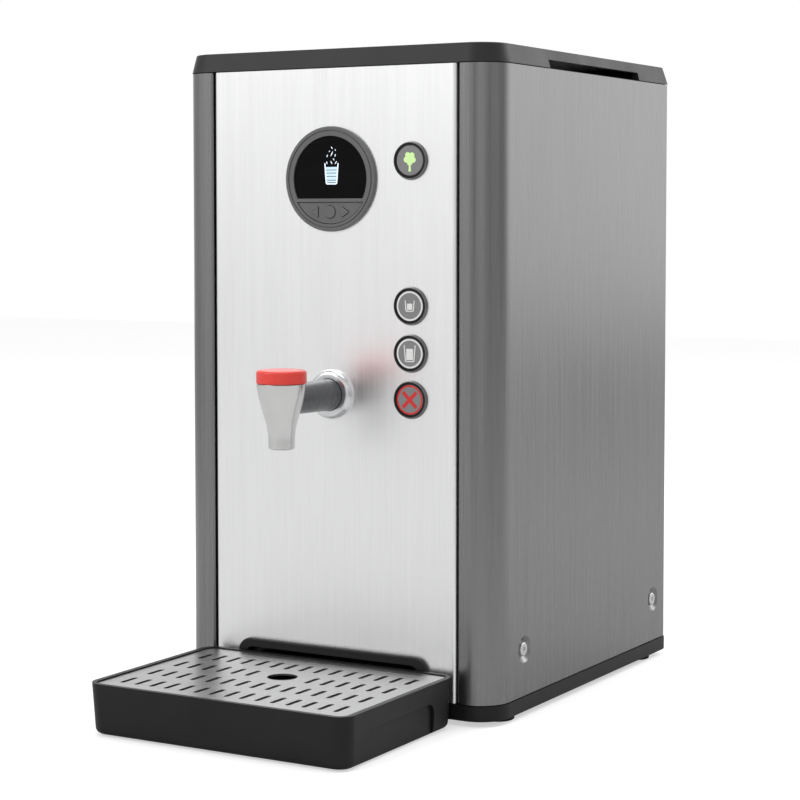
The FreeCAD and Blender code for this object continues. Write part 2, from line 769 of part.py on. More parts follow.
def display_board():
    """Circuit board inside the barrel, with the screen block and a switch behind each menu key."""
    y1 = RING_BARREL_L - 1.0
    y0 = y1 - BOARD_T
    board = y_disc(RING_BARREL_R - RING_WALL - HOLE_CLEAR, 0.0, DISPLAY_Z, y0, y1)
    screen_y = -RING_PROUD + WINDOW_RECESS + WINDOW_T + KEY_CLEAR
    screen_z0 = DISPLAY_Z - WINDOW_FLAT + 1.0
    screen = box(-SCREEN_W / 2, SCREEN_W / 2, screen_y, y0, screen_z0, screen_z0 + SCREEN_H)
    parts = [board, screen]
    switch_y = key_back_y() + KEY_TRAVEL + KEY_CLEAR
    for name in KEYS:
        parts.append(key_outline(name, -0.8, switch_y, y0))
    return fuse(parts)


def key_back_y():
    """Rear face of the menu keys at rest."""
    return -RING_PROUD + KEYPAD_RECESS + KEYPAD_T + KEY_CLEAR + KEY_FLANGE_T


def display_housing():
    """Cup behind the panel that clamps the display."""
    depth = RING_BARREL_L + 4.0
    body = y_disc(HOUSING_R, 0.0, DISPLAY_Z, SHEET, depth)
    hollow = y_disc(RING_BARREL_R + HOLE_CLEAR, 0.0, DISPLAY_Z, SHEET, depth - HOUSING_WALL)
    slot = box(-HOUSING_SLOT_X, HOUSING_SLOT_X, depth - HOUSING_WALL - PAST, depth + PAST,
               DISPLAY_Z - HOUSING_SLOT_Z, DISPLAY_Z + HOUSING_SLOT_Z)
    return body.cut(hollow).cut(slot)


# ---- push buttons ----
def button_bezel(z):
    """Bezel with a thin raised lip, a dark land, a barrel and a rear guide."""
    tip_r = BEZEL_R - BEZEL_CHAMFER
    front = Part.makeCone(tip_r, BEZEL_R, BEZEL_PROUD, vec(BUTTON_X, -BEZEL_PROUD, z), Y_AXIS)
    barrel = y_disc(BARREL_R, BUTTON_X, z, 0.0, BARREL_L)
    body = fuse([front, barrel])
    body = body.cut(y_disc(tip_r - BEZEL_LIP, BUTTON_X, z, -BEZEL_PROUD - PAST, -BEZEL_PROUD + BEZEL_LAND))
    body = body.cut(y_disc(CAP_R + CAP_CLEAR, BUTTON_X, z, -BEZEL_PROUD, BARREL_L - BUTTON_FLOOR_T))
    return body.cut(y_disc(CAP_STEM_R + KEY_CLEAR, BUTTON_X, z, 0, BARREL_L + PAST))


def button_cap(z):
    """Round cap with a stem."""
    y0 = -CAP_PROUD
    face = y_disc(CAP_R, BUTTON_X, z, y0, y0 + CAP_T)
    rim = [e for e in face.Edges if abs(e.CenterOfMass.y - y0) < 1e-3]
    face = face.makeFillet(0.5, rim)
    stem = y_disc(CAP_STEM_R, BUTTON_X, z, y0 + CAP_T, y0 + CAP_T + CAP_STEM_L - 1.0)
    return fuse([face, stem])


def half_turn(start, end, side):
    """Half ring of spring wire between two points across the coil, bulging to one side in Y."""
    across = end - start
    centre = (start + end) * 0.5
    axis = Y_AXIS.cross(across) * side
    wire = Part.Wire([Part.Circle(start, Y_AXIS, SPRING_WIRE_R).toShape()])
    return Part.Face(wire).revolve(centre, axis, 180)


def button_spring(z):
    """Coil spring between the cap and the bezel's floor, made of tilted half rings."""
    y0 = CAP_T - CAP_PROUD + SPRING_WIRE_R + REST_GAP
    y1 = BARREL_L - BUTTON_FLOOR_T - SPRING_WIRE_R - REST_GAP
    halves = int(SPRING_TURNS * 2)
    rise = (y1 - y0) / halves
    rings = []
    for i in range(halves):
        side = 1 if i % 2 == 0 else -1
        start = vec(side * SPRING_R, 0, i * rise)
        end = vec(-side * SPRING_R, 0, (i + 1) * rise)
        rings.append(half_turn(start, end, side))
    coil = fuse(rings)
    coil.rotate(vec(0, 0, 0), X_AXIS, -90)
    coil.translate(vec(BUTTON_X, y0, z))
    return coil


def button_nuts():
    """Four ring nuts on the button barrels."""
    nuts = []
    for _, z in BUTTONS:
        body = y_tube(NUT_R, BARREL_R + SLIP, BUTTON_X, z, SHEET, SHEET + NUT_T)
        for i in range(6):
            angle = i * math.pi / 3.0
            x = BUTTON_X + NUT_R * math.cos(angle)
            notch = y_disc(NUT_NOTCH_R, x, z + NUT_R * math.sin(angle), SHEET, SHEET + NUT_T)
            body = body.cut(notch)
        nuts.append(body)
    return group(nuts)


def button_board():
    """Long circuit board behind the buttons, with one switch for each and its mounting posts."""
    y0 = BUTTON_BOARD_Y
    half = BOARD_HALF_W
    board = box(BUTTON_X - half, BUTTON_X + half, y0, y0 + BOARD_T, STOP_Z - BOARD_END, ECO_Z + BOARD_END)
    parts = [board]
    for _, z in BUTTONS:
        parts.append(box(BUTTON_X - TACT_HALF, BUTTON_X + TACT_HALF, y0 - TACT_H, y0,
                         z - TACT_HALF, z + TACT_HALF))
    for z in (STOP_Z + 45 + 30, ECO_Z - 36):
        for x in (BUTTON_X - PILLAR_X, BUTTON_X + PILLAR_X):
            parts.append(y_disc(PILLAR_R, x, z, SHEET, y0))
    return fuse(parts)


# ---- tap ----
def tap_flange():
    """Polished domed rosette against the panel."""
    profile = [(ARM_R + ARM_FLARE + SLIP, 0.0), (ROSETTE_R, 0.0), (ROSETTE_R, -ROSETTE_EDGE)]
    centre = vec(0, 0, TAP_Z)
    steps = 6
    rise = ROSETTE_PROUD - ROSETTE_EDGE
    run = ROSETTE_R - ARM_R - ARM_FLARE - SLIP
    for i in range(1, steps + 1):
        angle = i / steps * math.pi / 2.0
        profile.append((ROSETTE_R - run * (1 - math.cos(angle)), -ROSETTE_EDGE - rise * math.sin(angle)))
    wire_points = [centre + X_AXIS * r + Y_AXIS * h for r, h in profile]
    bottom = Part.LineSegment(wire_points[0], wire_points[1]).toShape()
    edge = Part.LineSegment(wire_points[1], wire_points[2]).toShape()
    curve = Part.BSplineCurve()
    curve.interpolate(wire_points[2:])
    dome = curve.toShape()
    inner = Part.LineSegment(wire_points[-1], wire_points[0]).toShape()
    return Part.Face(Part.Wire([bottom, edge, dome, inner])).revolve(centre, Y_AXIS, 360)


def spout_outer():
    """Outer form of the spout body, solid: a waisted vase about the spout's axis."""
    top = SPOUT_Z0 + SPOUT_BODY_H
    profile = [
        (0.0, SPOUT_Z0, 0.0),
        (SPOUT_NOZZLE_R, SPOUT_Z0, SPOUT_TIP_EDGE),
        (SPOUT_NECK_R, SPOUT_Z0 + SPOUT_NECK_UP, SPOUT_WAIST_R),
        (SPOUT_TOP_R - SPOUT_TAPER, SPOUT_Z0 + SPOUT_SHOULDER_UP, SPOUT_WAIST_R),
        (SPOUT_TOP_R, top, 0.0),
        (0.0, top, 0.0),
    ]
    points = [vec(r, -SPOUT_REACH, z) for r, z, _ in profile]
    wire = rounded_wire(points, [radius for _, _, radius in profile])
    return Part.Face(wire).revolve(points[0], Z_AXIS, 360)


def spout_body():
    """Spout body with its chamber, outlet and side inlet."""
    top = SPOUT_Z0 + SPOUT_BODY_H
    chamber = rod(SPOUT_BORE_R, vec(0, -SPOUT_REACH, SPOUT_Z0 + SPOUT_CHAMBER_UP), Z_AXIS, SPOUT_BODY_H)
    way = rod(SPOUT_WAY_R, vec(0, -SPOUT_REACH, SPOUT_Z0 - PAST), Z_AXIS, SPOUT_BODY_H)
    inlet = y_disc(WATERWAY_R, 0.0, TAP_Z, -SPOUT_REACH, 0.0)
    body = spout_outer().cut(chamber).cut(way).cut(inlet)
    return body.common(box(-50, 50, -SPOUT_REACH - 50, 0, 0, top))


def tap_arm():
    """Arm from the wall to the spout, with the threaded shank and hose tail behind the panel."""
    tip = vec(0, -SPOUT_REACH, TAP_Z)
    arm = Part.makeCone(ARM_R - ARM_FLARE, ARM_R + ARM_FLARE, SPOUT_REACH, tip, Y_AXIS)
    arm = arm.cut(spout_outer())
    arm = sorted(arm.Solids, key=lambda solid: solid.Volume)[-1]
    shank = y_disc(SHANK_R, 0.0, TAP_Z, 0.0, SHANK_L)
    tail = y_disc(TAIL_R, 0.0, TAP_Z, SHANK_L, SHANK_L + TAIL_L)
    way = y_disc(WATERWAY_R, 0.0, TAP_Z, -SPOUT_REACH - ARM_R, SHANK_L + TAIL_L + PAST)
    return fuse([arm, shank, tail]).cut(way)


def spout_cap():
    """Red cap with a plug skirt inside the spout body."""
    z0 = SPOUT_Z0 + SPOUT_BODY_H + KEY_CLEAR
    centre = vec(0, -SPOUT_REACH, z0)
    top = rod(SPOUT_CAP_R, centre, Z_AXIS, SPOUT_CAP_H)
    rims = [e for e in top.Edges if e.BoundBox.ZMin > z0 + SPOUT_CAP_H - 1e-3]
    top = top.makeFillet(SPOUT_CAP_EDGE, rims)
    skirt_r = SPOUT_BORE_R - TIP_CLEAR
    skirt = tube(skirt_r, skirt_r - CAP_SKIRT_WALL, centre - Z_AXIS * CAP_SKIRT_L, Z_AXIS, CAP_SKIRT_L)
    return fuse([top, skirt])


def tap_nut():
    """Hexagon nut that clamps the tap from inside."""
    across = TAP_NUT_ACROSS
    radius = across / math.sqrt(3.0)
    points = []
    for i in range(6):
        angle = (i + 0.5) * math.pi / 3.0
        points.append((radius * math.cos(angle), TAP_Z + radius * math.sin(angle)))
    body = front_prism(points, [0.0] * 6, SHEET, SHEET + TAP_NUT_T)
    return body.cut(y_disc(SHANK_R + SLIP, 0.0, TAP_Z, 0, SHEET + TAP_NUT_T + PAST))


# ---- tray ----
def tray_wire(z, inset):
    """Level outline of the tray at a height, drawn in by an inset."""
    y0 = -TRAY_REACH + inset
    y1 = -TRAY_GAP - inset * 0.3
    half = TRAY_HALF_W - inset
    return plan_wire(-half, half, y0, y1, z, [TRAY_FRONT_R, TRAY_FRONT_R, TRAY_REAR_R, TRAY_REAR_R])


def grid_bounds(clear):
    """Plan limits of the grid's seat, drawn in by a clearance."""
    half = TRAY_HALF_W - GRID_RIM - clear
    y0 = -TRAY_REACH + GRID_RIM - 0.6 + clear
    y1 = -TRAY_GAP - GRID_RIM + 0.4 - clear
    return half, y0, y1


def drip_tray():
    """Plastic tray: drafted walls, ledge for the grid, grip recesses and a rear tongue."""
    low = tray_wire(TRAY_Z0, TRAY_DRAFT)
    high = tray_wire(TRAY_TOP, 0.0)
    body = Part.makeLoft([low, high], True, True)
    bottom = [e for e in body.Edges if e.BoundBox.ZMax < TRAY_Z0 + 1e-4]
    body = body.makeFillet(TRAY_FOOT_R, bottom)
    half, y0, y1 = grid_bounds(0.0)
    seat = plan_prism(-half, half, y0, y1, LEDGE_Z, TRAY_TOP + PAST, [GRID_R] * 4)
    cav_half = TRAY_HALF_W - GRIP_DEPTH - TRAY_WALL
    cav_y0 = y0 + LEDGE_W
    cav_y1 = y1 - LEDGE_W
    cavity = plan_prism(-cav_half, cav_half, cav_y0, cav_y1, TRAY_Z0 + TRAY_FLOOR, LEDGE_Z + PAST, [GRID_R] * 4)
    body = body.cut(seat).cut(cavity)
    for side in (-1, 1):
        body = body.cut(grip_recess(side))
    channel_top = TONGUE_Z0 + TONGUE_H
    tongue_y1 = -TRAY_GAP + TONGUE_L
    tongue = box(-TONGUE_HALF_W, TONGUE_HALF_W, -TRAY_GAP - 1.5, tongue_y1, TONGUE_Z0, channel_top)
    body = fuse([body, tongue])
    channel = box(-TONGUE_HALF_W + TONGUE_WALL, TONGUE_HALF_W - TONGUE_WALL, cav_y1 - 1,
                  tongue_y1 - TONGUE_WALL, TONGUE_Z0 + TONGUE_WALL, channel_top + 0.01)
    return body.cut(channel)


def grip_recess(side):
    """Cutter for one side grip recess, open at the bottom."""
    x0 = TRAY_HALF_W - GRIP_DEPTH
    z1 = GRIP_Z0 + GRIP_H
    y1 = GRIP_Y0 + GRIP_L
    points = [(GRIP_Y0, -1.0), (y1, -1.0), (y1, z1), (GRIP_Y0, z1)]
    cutter = side_prism(points, [0.0, 0.0, GRIP_R, GRIP_R], x0, TRAY_HALF_W + 2)
    if side < 0:
        cutter = cutter.mirror(vec(0, 0, 0), X_AXIS)
    return cutter


def slot_cutter(x, y):
    """Cutter for one long slot with round ends."""
    r = SLOT_W / 2.0
    half = SLOT_L / 2.0
    z0 = LEDGE_Z - PAST
    return plan_prism(x - r, x + r, y - half, y + half, z0, GRID_TOP + PAST, [r * 0.98] * 4)


def drip_grid():
    """Slotted steel grid with a round hole under the spout."""
    half, y0, y1 = grid_bounds(GRID_CLEAR)
    body = plan_prism(-half, half, y0, y1, LEDGE_Z, GRID_TOP, [GRID_R - GRID_CLEAR] * 4)
    cutters = [rod(GRID_HOLE_R, vec(0, -SPOUT_REACH, LEDGE_Z - PAST), Z_AXIS, GRID_T + 2)]
    middle = (SLOT_COLUMNS - 1) / 2.0
    keep_clear = GRID_HOLE_R + SLOT_W
    for row in range(SLOT_ROWS):
        y = -SPOUT_REACH + (1 - row) * SLOT_PITCH_Y
        for column in range(SLOT_COLUMNS):
            x = (column - middle) * SLOT_PITCH_X
            if row == 1 and abs(x) < keep_clear:
                continue
            cutters.append(slot_cutter(x, y))
    return body.cut(Part.makeCompound(cutters))


def arch_outline(inset, z0, y0, y1, band=0.0):
    """Arch-shaped prism: straight feet and rounded shoulders, drawn in by an inset."""
    half = ARCH_HALF_W - inset - band
    top = ARCH_TOP - inset - band
    shoulder = max(ARCH_R - inset - band * 0.6, 1.5)
    points = [(-half, z0), (half, z0), (half, top), (-half, top)]
    return front_prism(points, [0.0, 0.0, shoulder, shoulder], y0, y1)


def tray_collar():
    """Black arch on the front panel that the tray's tongue passes through."""
    face = arch_outline(0.0, ARCH_FOOT_Z, -ARCH_PROUD, 0.0)
    front = [e for e in face.Edges if abs(e.CenterOfMass.y + ARCH_PROUD) < 1e-3 and e.CenterOfMass.z > ARCH_FOOT_Z + 1]
    face = face.makeFillet(ARCH_EDGE, front)
    spigot = arch_outline(ARCH_SPIGOT_IN, ARCH_FOOT_Z, 0.0, ARCH_SPIGOT)
    body = fuse([face, spigot])
    opening = arch_outline(0.0, ARCH_FOOT_Z - 1, -ARCH_PROUD - 1, ARCH_SPIGOT + 1, ARCH_BAND)
    return body.cut(opening)


# ---- boiler ----
def rim_z():
    """Top of the tank's flange."""
    return TANK_Z0 + TANK_H


def boiler_lid_z():
    """Underside of the boiler lid."""
    return rim_z() + GASKET_T


def lid_bolt_places():
    """Places of the boiler lid's screws in plan."""
    radius = TANK_R + TANK_RIM - LID_BOLT_IN
    places = []
    for i in range(LID_BOLTS):
        angle = (i + 0.5) * 2 * math.pi / LID_BOLTS
        places.append((radius * math.cos(angle), TANK_Y + radius * math.sin(angle)))
    return places


def boiler_tank():
    """Thin steel tank with a floor, a bolting flange and an outlet stub."""
    centre = vec(0, TANK_Y, TANK_Z0)
    outer = TANK_R + TANK_T
    body = rod(outer, centre, Z_AXIS, TANK_H)
    flange = rod(TANK_R + TANK_RIM, vec(0, TANK_Y, rim_z() - RIM_T), Z_AXIS, RIM_T)
    stub = y_disc(OUTLET_R, 0.0, TAP_Z, outlet_face_y(), TANK_Y - TANK_R)
    body = fuse([body, flange, stub])
    body = body.cut(rod(TANK_R, centre + Z_AXIS * TANK_T, Z_AXIS, TANK_H))
    body = body.cut(y_disc(OUTLET_R - 1.2, 0.0, TAP_Z, 0, TANK_Y))
    for x, y in lid_bolt_places():
        body = body.cut(rod(LID_BOLT_R + SLIP, vec(x, y, rim_z() - RIM_T - 1), Z_AXIS, RIM_T + 2))
    return body


def outlet_face_y():
    """Front end of the tank's outlet stub, which meets the outlet valve."""
    return TANK_Y - TANK_R - TANK_T - JACKET_T - 4.0


def boiler_gasket():
    """Silicone ring under the boiler lid."""
    return tube(TANK_R + 5.0, TANK_R + 0.5, vec(0, TANK_Y, rim_z()), Z_AXIS, GASKET_T)


def boiler_lid():
    """Round steel lid with holes for the element, probes, hoses and screws."""
    z = boiler_lid_z()
    body = rod(TANK_R + TANK_RIM, vec(0, TANK_Y, z), Z_AXIS, BOILER_LID_T)
    holes = [rod(LID_BOLT_R + SLIP, vec(x, y, z - 1), Z_AXIS, BOILER_LID_T + 2) for x, y in lid_bolt_places()]
    for x, y in element_legs():
        holes.append(rod(ELEMENT_R + HOLE_CLEAR, vec(x, y, z - 1), Z_AXIS, BOILER_LID_T + 2))
    for x, y, _ in probe_places():
        holes.append(rod(PROBE_R + HOLE_CLEAR, vec(x, y, z - 1), Z_AXIS, BOILER_LID_T + 2))
    for x, y in (fill_point(), vent_point()):
        holes.append(rod(HOSE_R - HOSE_WALL, vec(x, y, z - 1), Z_AXIS, BOILER_LID_T + 2))
    return body.cut(Part.makeCompound(holes))


def fill_point():
    """Place of the fill hose on the boiler lid."""
    return (48.0, TANK_Y + 30.0)


def vent_point():
    """Place of the vent hose on the boiler lid."""
    return (OVERFLOW_X, TANK_Y - 44.0)


def boiler_lid_screws():
    """Screws with nuts that clamp the boiler lid."""
    screws = []
    z = boiler_lid_z() + BOILER_LID_T
    low = rim_z() - RIM_T
    for x, y in lid_bolt_places():
        head = rod(3.5, vec(x, y, z), Z_AXIS, 3.0)
        shank = rod(LID_BOLT_R, vec(x, y, low - 4.0), Z_AXIS, z - low + 4.0)
        nut = rod(3.6, vec(x, y, low - 3.2), Z_AXIS, 3.2)
        screws.append(fuse([head, shank, nut]))
    return group(screws)


def boiler_stand():
    """Ring that carries the tank above the chassis floor, with a cable gap."""
    z0 = FLOOR_Z + FLOOR_T
    body = tube(TANK_R - 2.0, TANK_R - 2.0 - STAND_T, vec(0, TANK_Y, z0), Z_AXIS, TANK_Z0 - z0)
    gap = box(-15, 15, TANK_Y - TANK_R, TANK_Y - TANK_R + 20, z0 - 1, z0 + 14)
    return body.cut(gap)


def boiler_insulation():
    """Two half shells of foam around the tank."""
    inner = TANK_R + TANK_T + JACKET_CLEAR
    z0 = TANK_Z0 + 2.0
    height = TANK_H - RIM_T - 8.0
    shell = tube(inner + JACKET_T - 1.0, inner, vec(0, TANK_Y, z0), Z_AXIS, height)
    shell = shell.cut(y_disc(OUTLET_R + 0.5, 0.0, TAP_Z, 0, TANK_Y))
    reach = TANK_R + TANK_RIM + JACKET_T
    right = shell.cut(box(-reach, JACKET_SPLIT / 2, TANK_Y - reach, TANK_Y + reach, 0, BODY_H))
    left = shell.cut(box(-JACKET_SPLIT / 2, reach, TANK_Y - reach, TANK_Y + reach, 0, BODY_H))
    return group([right, left])


def element_legs():
    """Places of the heating element's four legs in plan."""
    y = TANK_Y + 4.0
    return [(-ELEMENT_HALF, y - 9), (ELEMENT_HALF, y - 9), (-ELEMENT_HALF, y + 9), (ELEMENT_HALF, y + 9)]


def heating_element():
    """Two bent heating rods on a round flange with terminals."""
    top = boiler_lid_z() + BOILER_LID_T
    legs = element_legs()
    parts = []
    for left, right in ((legs[0], legs[1]), (legs[2], legs[3])):
        low = TANK_Z0 + 28.0
        points = [vec(left[0], left[1], top + 9), vec(left[0], left[1], low),
                  vec(right[0], right[1], low), vec(right[0], right[1], top + 9)]
        parts.append(swept(points, 12.0, ELEMENT_R))
    flange = rod(ELEMENT_FLANGE_R, vec(0, TANK_Y + 4.0, top), Z_AXIS, ELEMENT_FLANGE_T)
    return fuse([flange] + parts)


def probe_places():
    """Places in plan of the temperature probe and the two level probes, with each one's depth."""
    return [(-44.0, TANK_Y + 26.0, 150.0), (-50.0, TANK_Y - 6.0, 44.0), (-44.0, TANK_Y - 24.0, 70.0)]


def boiler_probes():
    """Temperature probe and two level probes, each with a hexagon-sized head."""
    top = boiler_lid_z() + BOILER_LID_T
    probes = []
    for x, y, depth in probe_places():
        stem = rod(PROBE_R, vec(x, y, top - depth), Z_AXIS, depth)
        head = rod(5.0, vec(x, y, top), Z_AXIS, 7.0)
        probes.append(fuse([stem, head]))
    return group(probes)


def dry_boil_cutout():
    """Round cut-out with two tabs on the boiler lid."""
    top = boiler_lid_z() + BOILER_LID_T
    x = 0.0
    y = TANK_Y - 52.0
    body = rod(8.5, vec(x, y, top), Z_AXIS, 8.0)
    tabs = [box(x + s - 0.4, x + s + 0.4, y - 3, y + 3, top + 8.0, top + 15.0) for s in (-4, 4)]
    return fuse([body] + tabs)


# ---- water path ----
def outlet_valve():
    """Solenoid valve between the tank and the tap."""
    y1 = outlet_face_y()
    y0 = y1 - VALVE_D
    block = box(-VALVE_W / 2, VALVE_W / 2, y0, y1, TAP_Z - VALVE_H / 2, TAP_Z + VALVE_H / 2)
    coil = rod(COIL_R, vec(0, (y0 + y1) / 2, TAP_Z + VALVE_H / 2), Z_AXIS, COIL_H)
    cap = rod(5.0, vec(0, (y0 + y1) / 2, TAP_Z + VALVE_H / 2 + COIL_H), Z_AXIS, 3.0)
    tail = y_disc(TAIL_R, 0.0, TAP_Z, y0 - TAIL_L, y0)
    body = fuse([block, coil, cap, tail])
    return body.cut(y_disc(WATERWAY_R, 0.0, TAP_Z, y0 - TAIL_L - 1, y1 + 1))


def outlet_hose():
    """Short silicone hose from the valve's tail to the tap's tail."""
    y0 = SHANK_L + 1.0
    y1 = outlet_face_y() - VALVE_D - 1.0
    return y_tube(TAIL_R + 2.5, TAIL_R + 0.05, 0.0, TAP_Z, y0, y1)


def inlet_valve():
    """Solenoid inlet valve with a threaded stub through the rear panel."""
    y1 = REAR_PANEL_Y - SHEET - 2.0
    y0 = y1 - VALVE_D
    half = VALVE_W / 2
    block = box(INLET_X - half, INLET_X + half, y0, y1, INLET_Z - half + 1, INLET_Z + half - 1)
    neck = y_disc(INLET_R - INLET_STEP, INLET_X, INLET_Z, y1, BODY_D)
    stub = y_disc(INLET_R, INLET_X, INLET_Z, BODY_D, BODY_D + INLET_PROUD)
    spout_x, spout_y = hose_riser()
    tail = rod(HOSE_R - HOSE_WALL - 0.05, vec(spout_x, spout_y, INLET_Z + half - 1), Z_AXIS, 14.0)
    coil = rod(COIL_R - 2, vec(INLET_X, y0, INLET_Z), Y_AXIS * -1, 4.0)
    body = fuse([block, neck, stub, tail, coil])
    return body.cut(y_disc(INLET_BORE_R, INLET_X, INLET_Z, y1 - 6, BODY_D + INLET_PROUD + 1))


def hose_riser():
    """Place in plan of the fill hose's riser beside the boiler."""
    return (INLET_X + VALVE_W / 2 - HOSE_R, REAR_PANEL_Y - SHEET - 2.0 - VALVE_D / 2)


def water_hoses():
    """Fill hose from the inlet valve to the boiler lid, and vent hose from the lid to the tray."""
    x, y = hose_riser()
    lid_top = boiler_lid_z() + BOILER_LID_T
    high = lid_top + 22.0
    fx, fy = fill_point()
    fill = hose([vec(x, y, INLET_Z + VALVE_W / 2), vec(x, y, high), vec(fx, fy, high), vec(fx, fy, lid_top)])
    vx, vy = vent_point()
    low = TONGUE_Z0 + TONGUE_H + 8.0
    vent = hose([vec(vx, vy, lid_top), vec(vx, vy, high), vec(vx, OVERFLOW_Y, high),
                 vec(vx, OVERFLOW_Y, low), vec(vx, OVERFLOW_Y - 38.0, low)])
    return group([fill, vent])


# ---- electrics ----
def board_bracket():
    """Folded steel bracket that carries the control board."""
    z0 = FLOOR_Z + FLOOR_T
    upright = box(BRACKET_X0, BRACKET_X0 + BRACKET_W, BRACKET_Y, BRACKET_Y + BRACKET_T, z0, BRACKET_TOP)
    foot = box(BRACKET_X0, BRACKET_X0 + 30, BRACKET_Y - 14, BRACKET_Y, z0, z0 + BRACKET_T)
    return fuse([upright, foot])


def control_board():
    """Control board with transformer, relays, capacitors and connectors."""
    x0 = BRACKET_X0 + MAIN_BOARD_MARGIN
    x1 = BRACKET_X0 + BRACKET_W - MAIN_BOARD_MARGIN
    y1 = BRACKET_Y - BOARD_POST
    y0 = y1 - BOARD_T
    z0 = MAIN_BOARD_Z0
    z1 = z0 + MAIN_BOARD_H
    parts = [box(x0, x1, y0, y1, z0, z1)]
    for x in (x0 + 5, x1 - 5):
        for z in (z0 + 5, z1 - 5):
            parts.append(y_disc(3.0, x, z, y1, BRACKET_Y))
    parts.append(box(x0 + 8, x0 + 34, y0 - 18, y0, z0 + 8, z0 + 38))
    for i in range(3):
        z = z0 + 50 + i * 24
        parts.append(box(x0 + 8, x0 + 24, y0 - 15, y0, z, z + 19))
    for i in range(3):
        parts.append(y_disc(5.0, x1 - 20, z0 + 20 + i * 16, y0 - 14, y0))
    for i in range(4):
        z = z0 + 76 + i * 26
        parts.append(box(x1 - 16, x1 - 5, y0 - 9, y0, z, z + 18))
    return fuse(parts)


def terminal_block():
    """Mains terminal block on the chassis floor."""
    z0 = FLOOR_Z + FLOOR_T
    y1 = REAR_PANEL_Y - SHEET - 6.0
    body = box(GLAND_X + 18, GLAND_X + 36, y1 - 20, y1, z0, z0 + 16)
    cutters = [rod(2.0, vec(GLAND_X + 22 + i * 5, y1 - 10, z0 + 8), Z_AXIS, 10) for i in range(3)]
    return body.cut(Part.makeCompound(cutters))


def cable_gland():
    """Cable gland through the rear panel, with its lock nut inside."""
    y_in = REAR_PANEL_Y - SHEET
    flange = y_disc(GLAND_R, GLAND_X, GLAND_Z, REAR_PANEL_Y, REAR_PANEL_Y + 4.0)
    dome = y_disc(GLAND_R * 0.86, GLAND_X, GLAND_Z, REAR_PANEL_Y + 4.0, BODY_D + GLAND_PROUD)
    rim = [e for e in dome.Edges if abs(e.CenterOfMass.y - BODY_D - GLAND_PROUD) < 1e-3]
    dome = dome.makeFillet(2.5, rim)
    thread = y_disc(GLAND_R * GLAND_THREAD, GLAND_X, GLAND_Z, y_in - 8.0, REAR_PANEL_Y)
    nut = y_disc(GLAND_R, GLAND_X, GLAND_Z, y_in - 4.5, y_in)
    body = fuse([flange, dome, thread, nut])
    return body.cut(y_disc(GLAND_BORE_R, GLAND_X, GLAND_Z, y_in - 9.0, BODY_D + GLAND_PROUD + 1))


def mains_switch_body():
    """Snap-in switch body with a raised frame around the rocker."""
    y0 = REAR_PANEL_Y - SWITCH_DEPTH
    half_w = SWITCH_W / 2
    half_h = SWITCH_H / 2
    shell = box(SWITCH_X - half_w, SWITCH_X + half_w, y0, REAR_PANEL_Y, SWITCH_Z - half_h, SWITCH_Z + half_h)
    frame = box(SWITCH_X - half_w - 1.5, SWITCH_X + half_w + 1.5, REAR_PANEL_Y, REAR_PANEL_Y + SWITCH_LIP,
                SWITCH_Z - half_h - 1.5, SWITCH_Z + half_h + 1.5)
    well = box(SWITCH_X - half_w + 2, SWITCH_X + half_w - 2, y0 + 7.0, REAR_PANEL_Y + SWITCH_LIP + 1,
               SWITCH_Z - half_h + 2, SWITCH_Z + half_h - 2)
    blades = [box(SWITCH_X + s - 0.4, SWITCH_X + s + 0.4, y0 - 8, y0, SWITCH_Z - 3, SWITCH_Z + 3) for s in (-5, 5)]
    return fuse([shell, frame] + blades).cut(well)


def mains_rocker():
    """Rocker of the mains switch, tipped to its off position."""
    half_w = SWITCH_W / 2 - 2 - ROCKER_CLEAR
    half_h = SWITCH_H / 2 - 2 - ROCKER_CLEAR - 0.5
    y0 = REAR_PANEL_Y - 5.0
    y1 = REAR_PANEL_Y + SWITCH_LIP + 1.6
    points = [(y0, SWITCH_Z - half_h * 0.72), (y0, SWITCH_Z + half_h * 0.72),
              (y1, SWITCH_Z + half_h), (y1 - 1.8, SWITCH_Z), (y1, SWITCH_Z - half_h)]
    body = side_prism(points, [1.0, 1.0, 0.6, 12.0, 0.6], SWITCH_X - half_w, SWITCH_X + half_w)
    body.rotate(vec(SWITCH_X, REAR_PANEL_Y - 1.0, SWITCH_Z), X_AXIS, -ROCKER_TILT)
    return body


def wiring_loom():
    """Bundled wires from the control board down to the terminal block, and up to the boiler lid."""
    x = BRACKET_X0 + 12.0
    y = BRACKET_Y + BRACKET_T + 6.0
    z0 = FLOOR_Z + FLOOR_T + 8.0
    rear = REAR_PANEL_Y - SHEET - 16.0
    runs = [vec(x, y, 150.0), vec(x, y, z0), vec(x, rear, z0), vec(GLAND_X + 18, rear, z0)]
    low = swept(runs, 10.0, 3.0)
    top = boiler_lid_z() + BOILER_LID_T + 20.0
    climb = [vec(x, y + 12.0, 60.0), vec(x, y + 12.0, top), vec(-20.0, TANK_Y - 20.0, top)]
    high = swept(climb, 16.0, 3.0)
    return group([low, high])


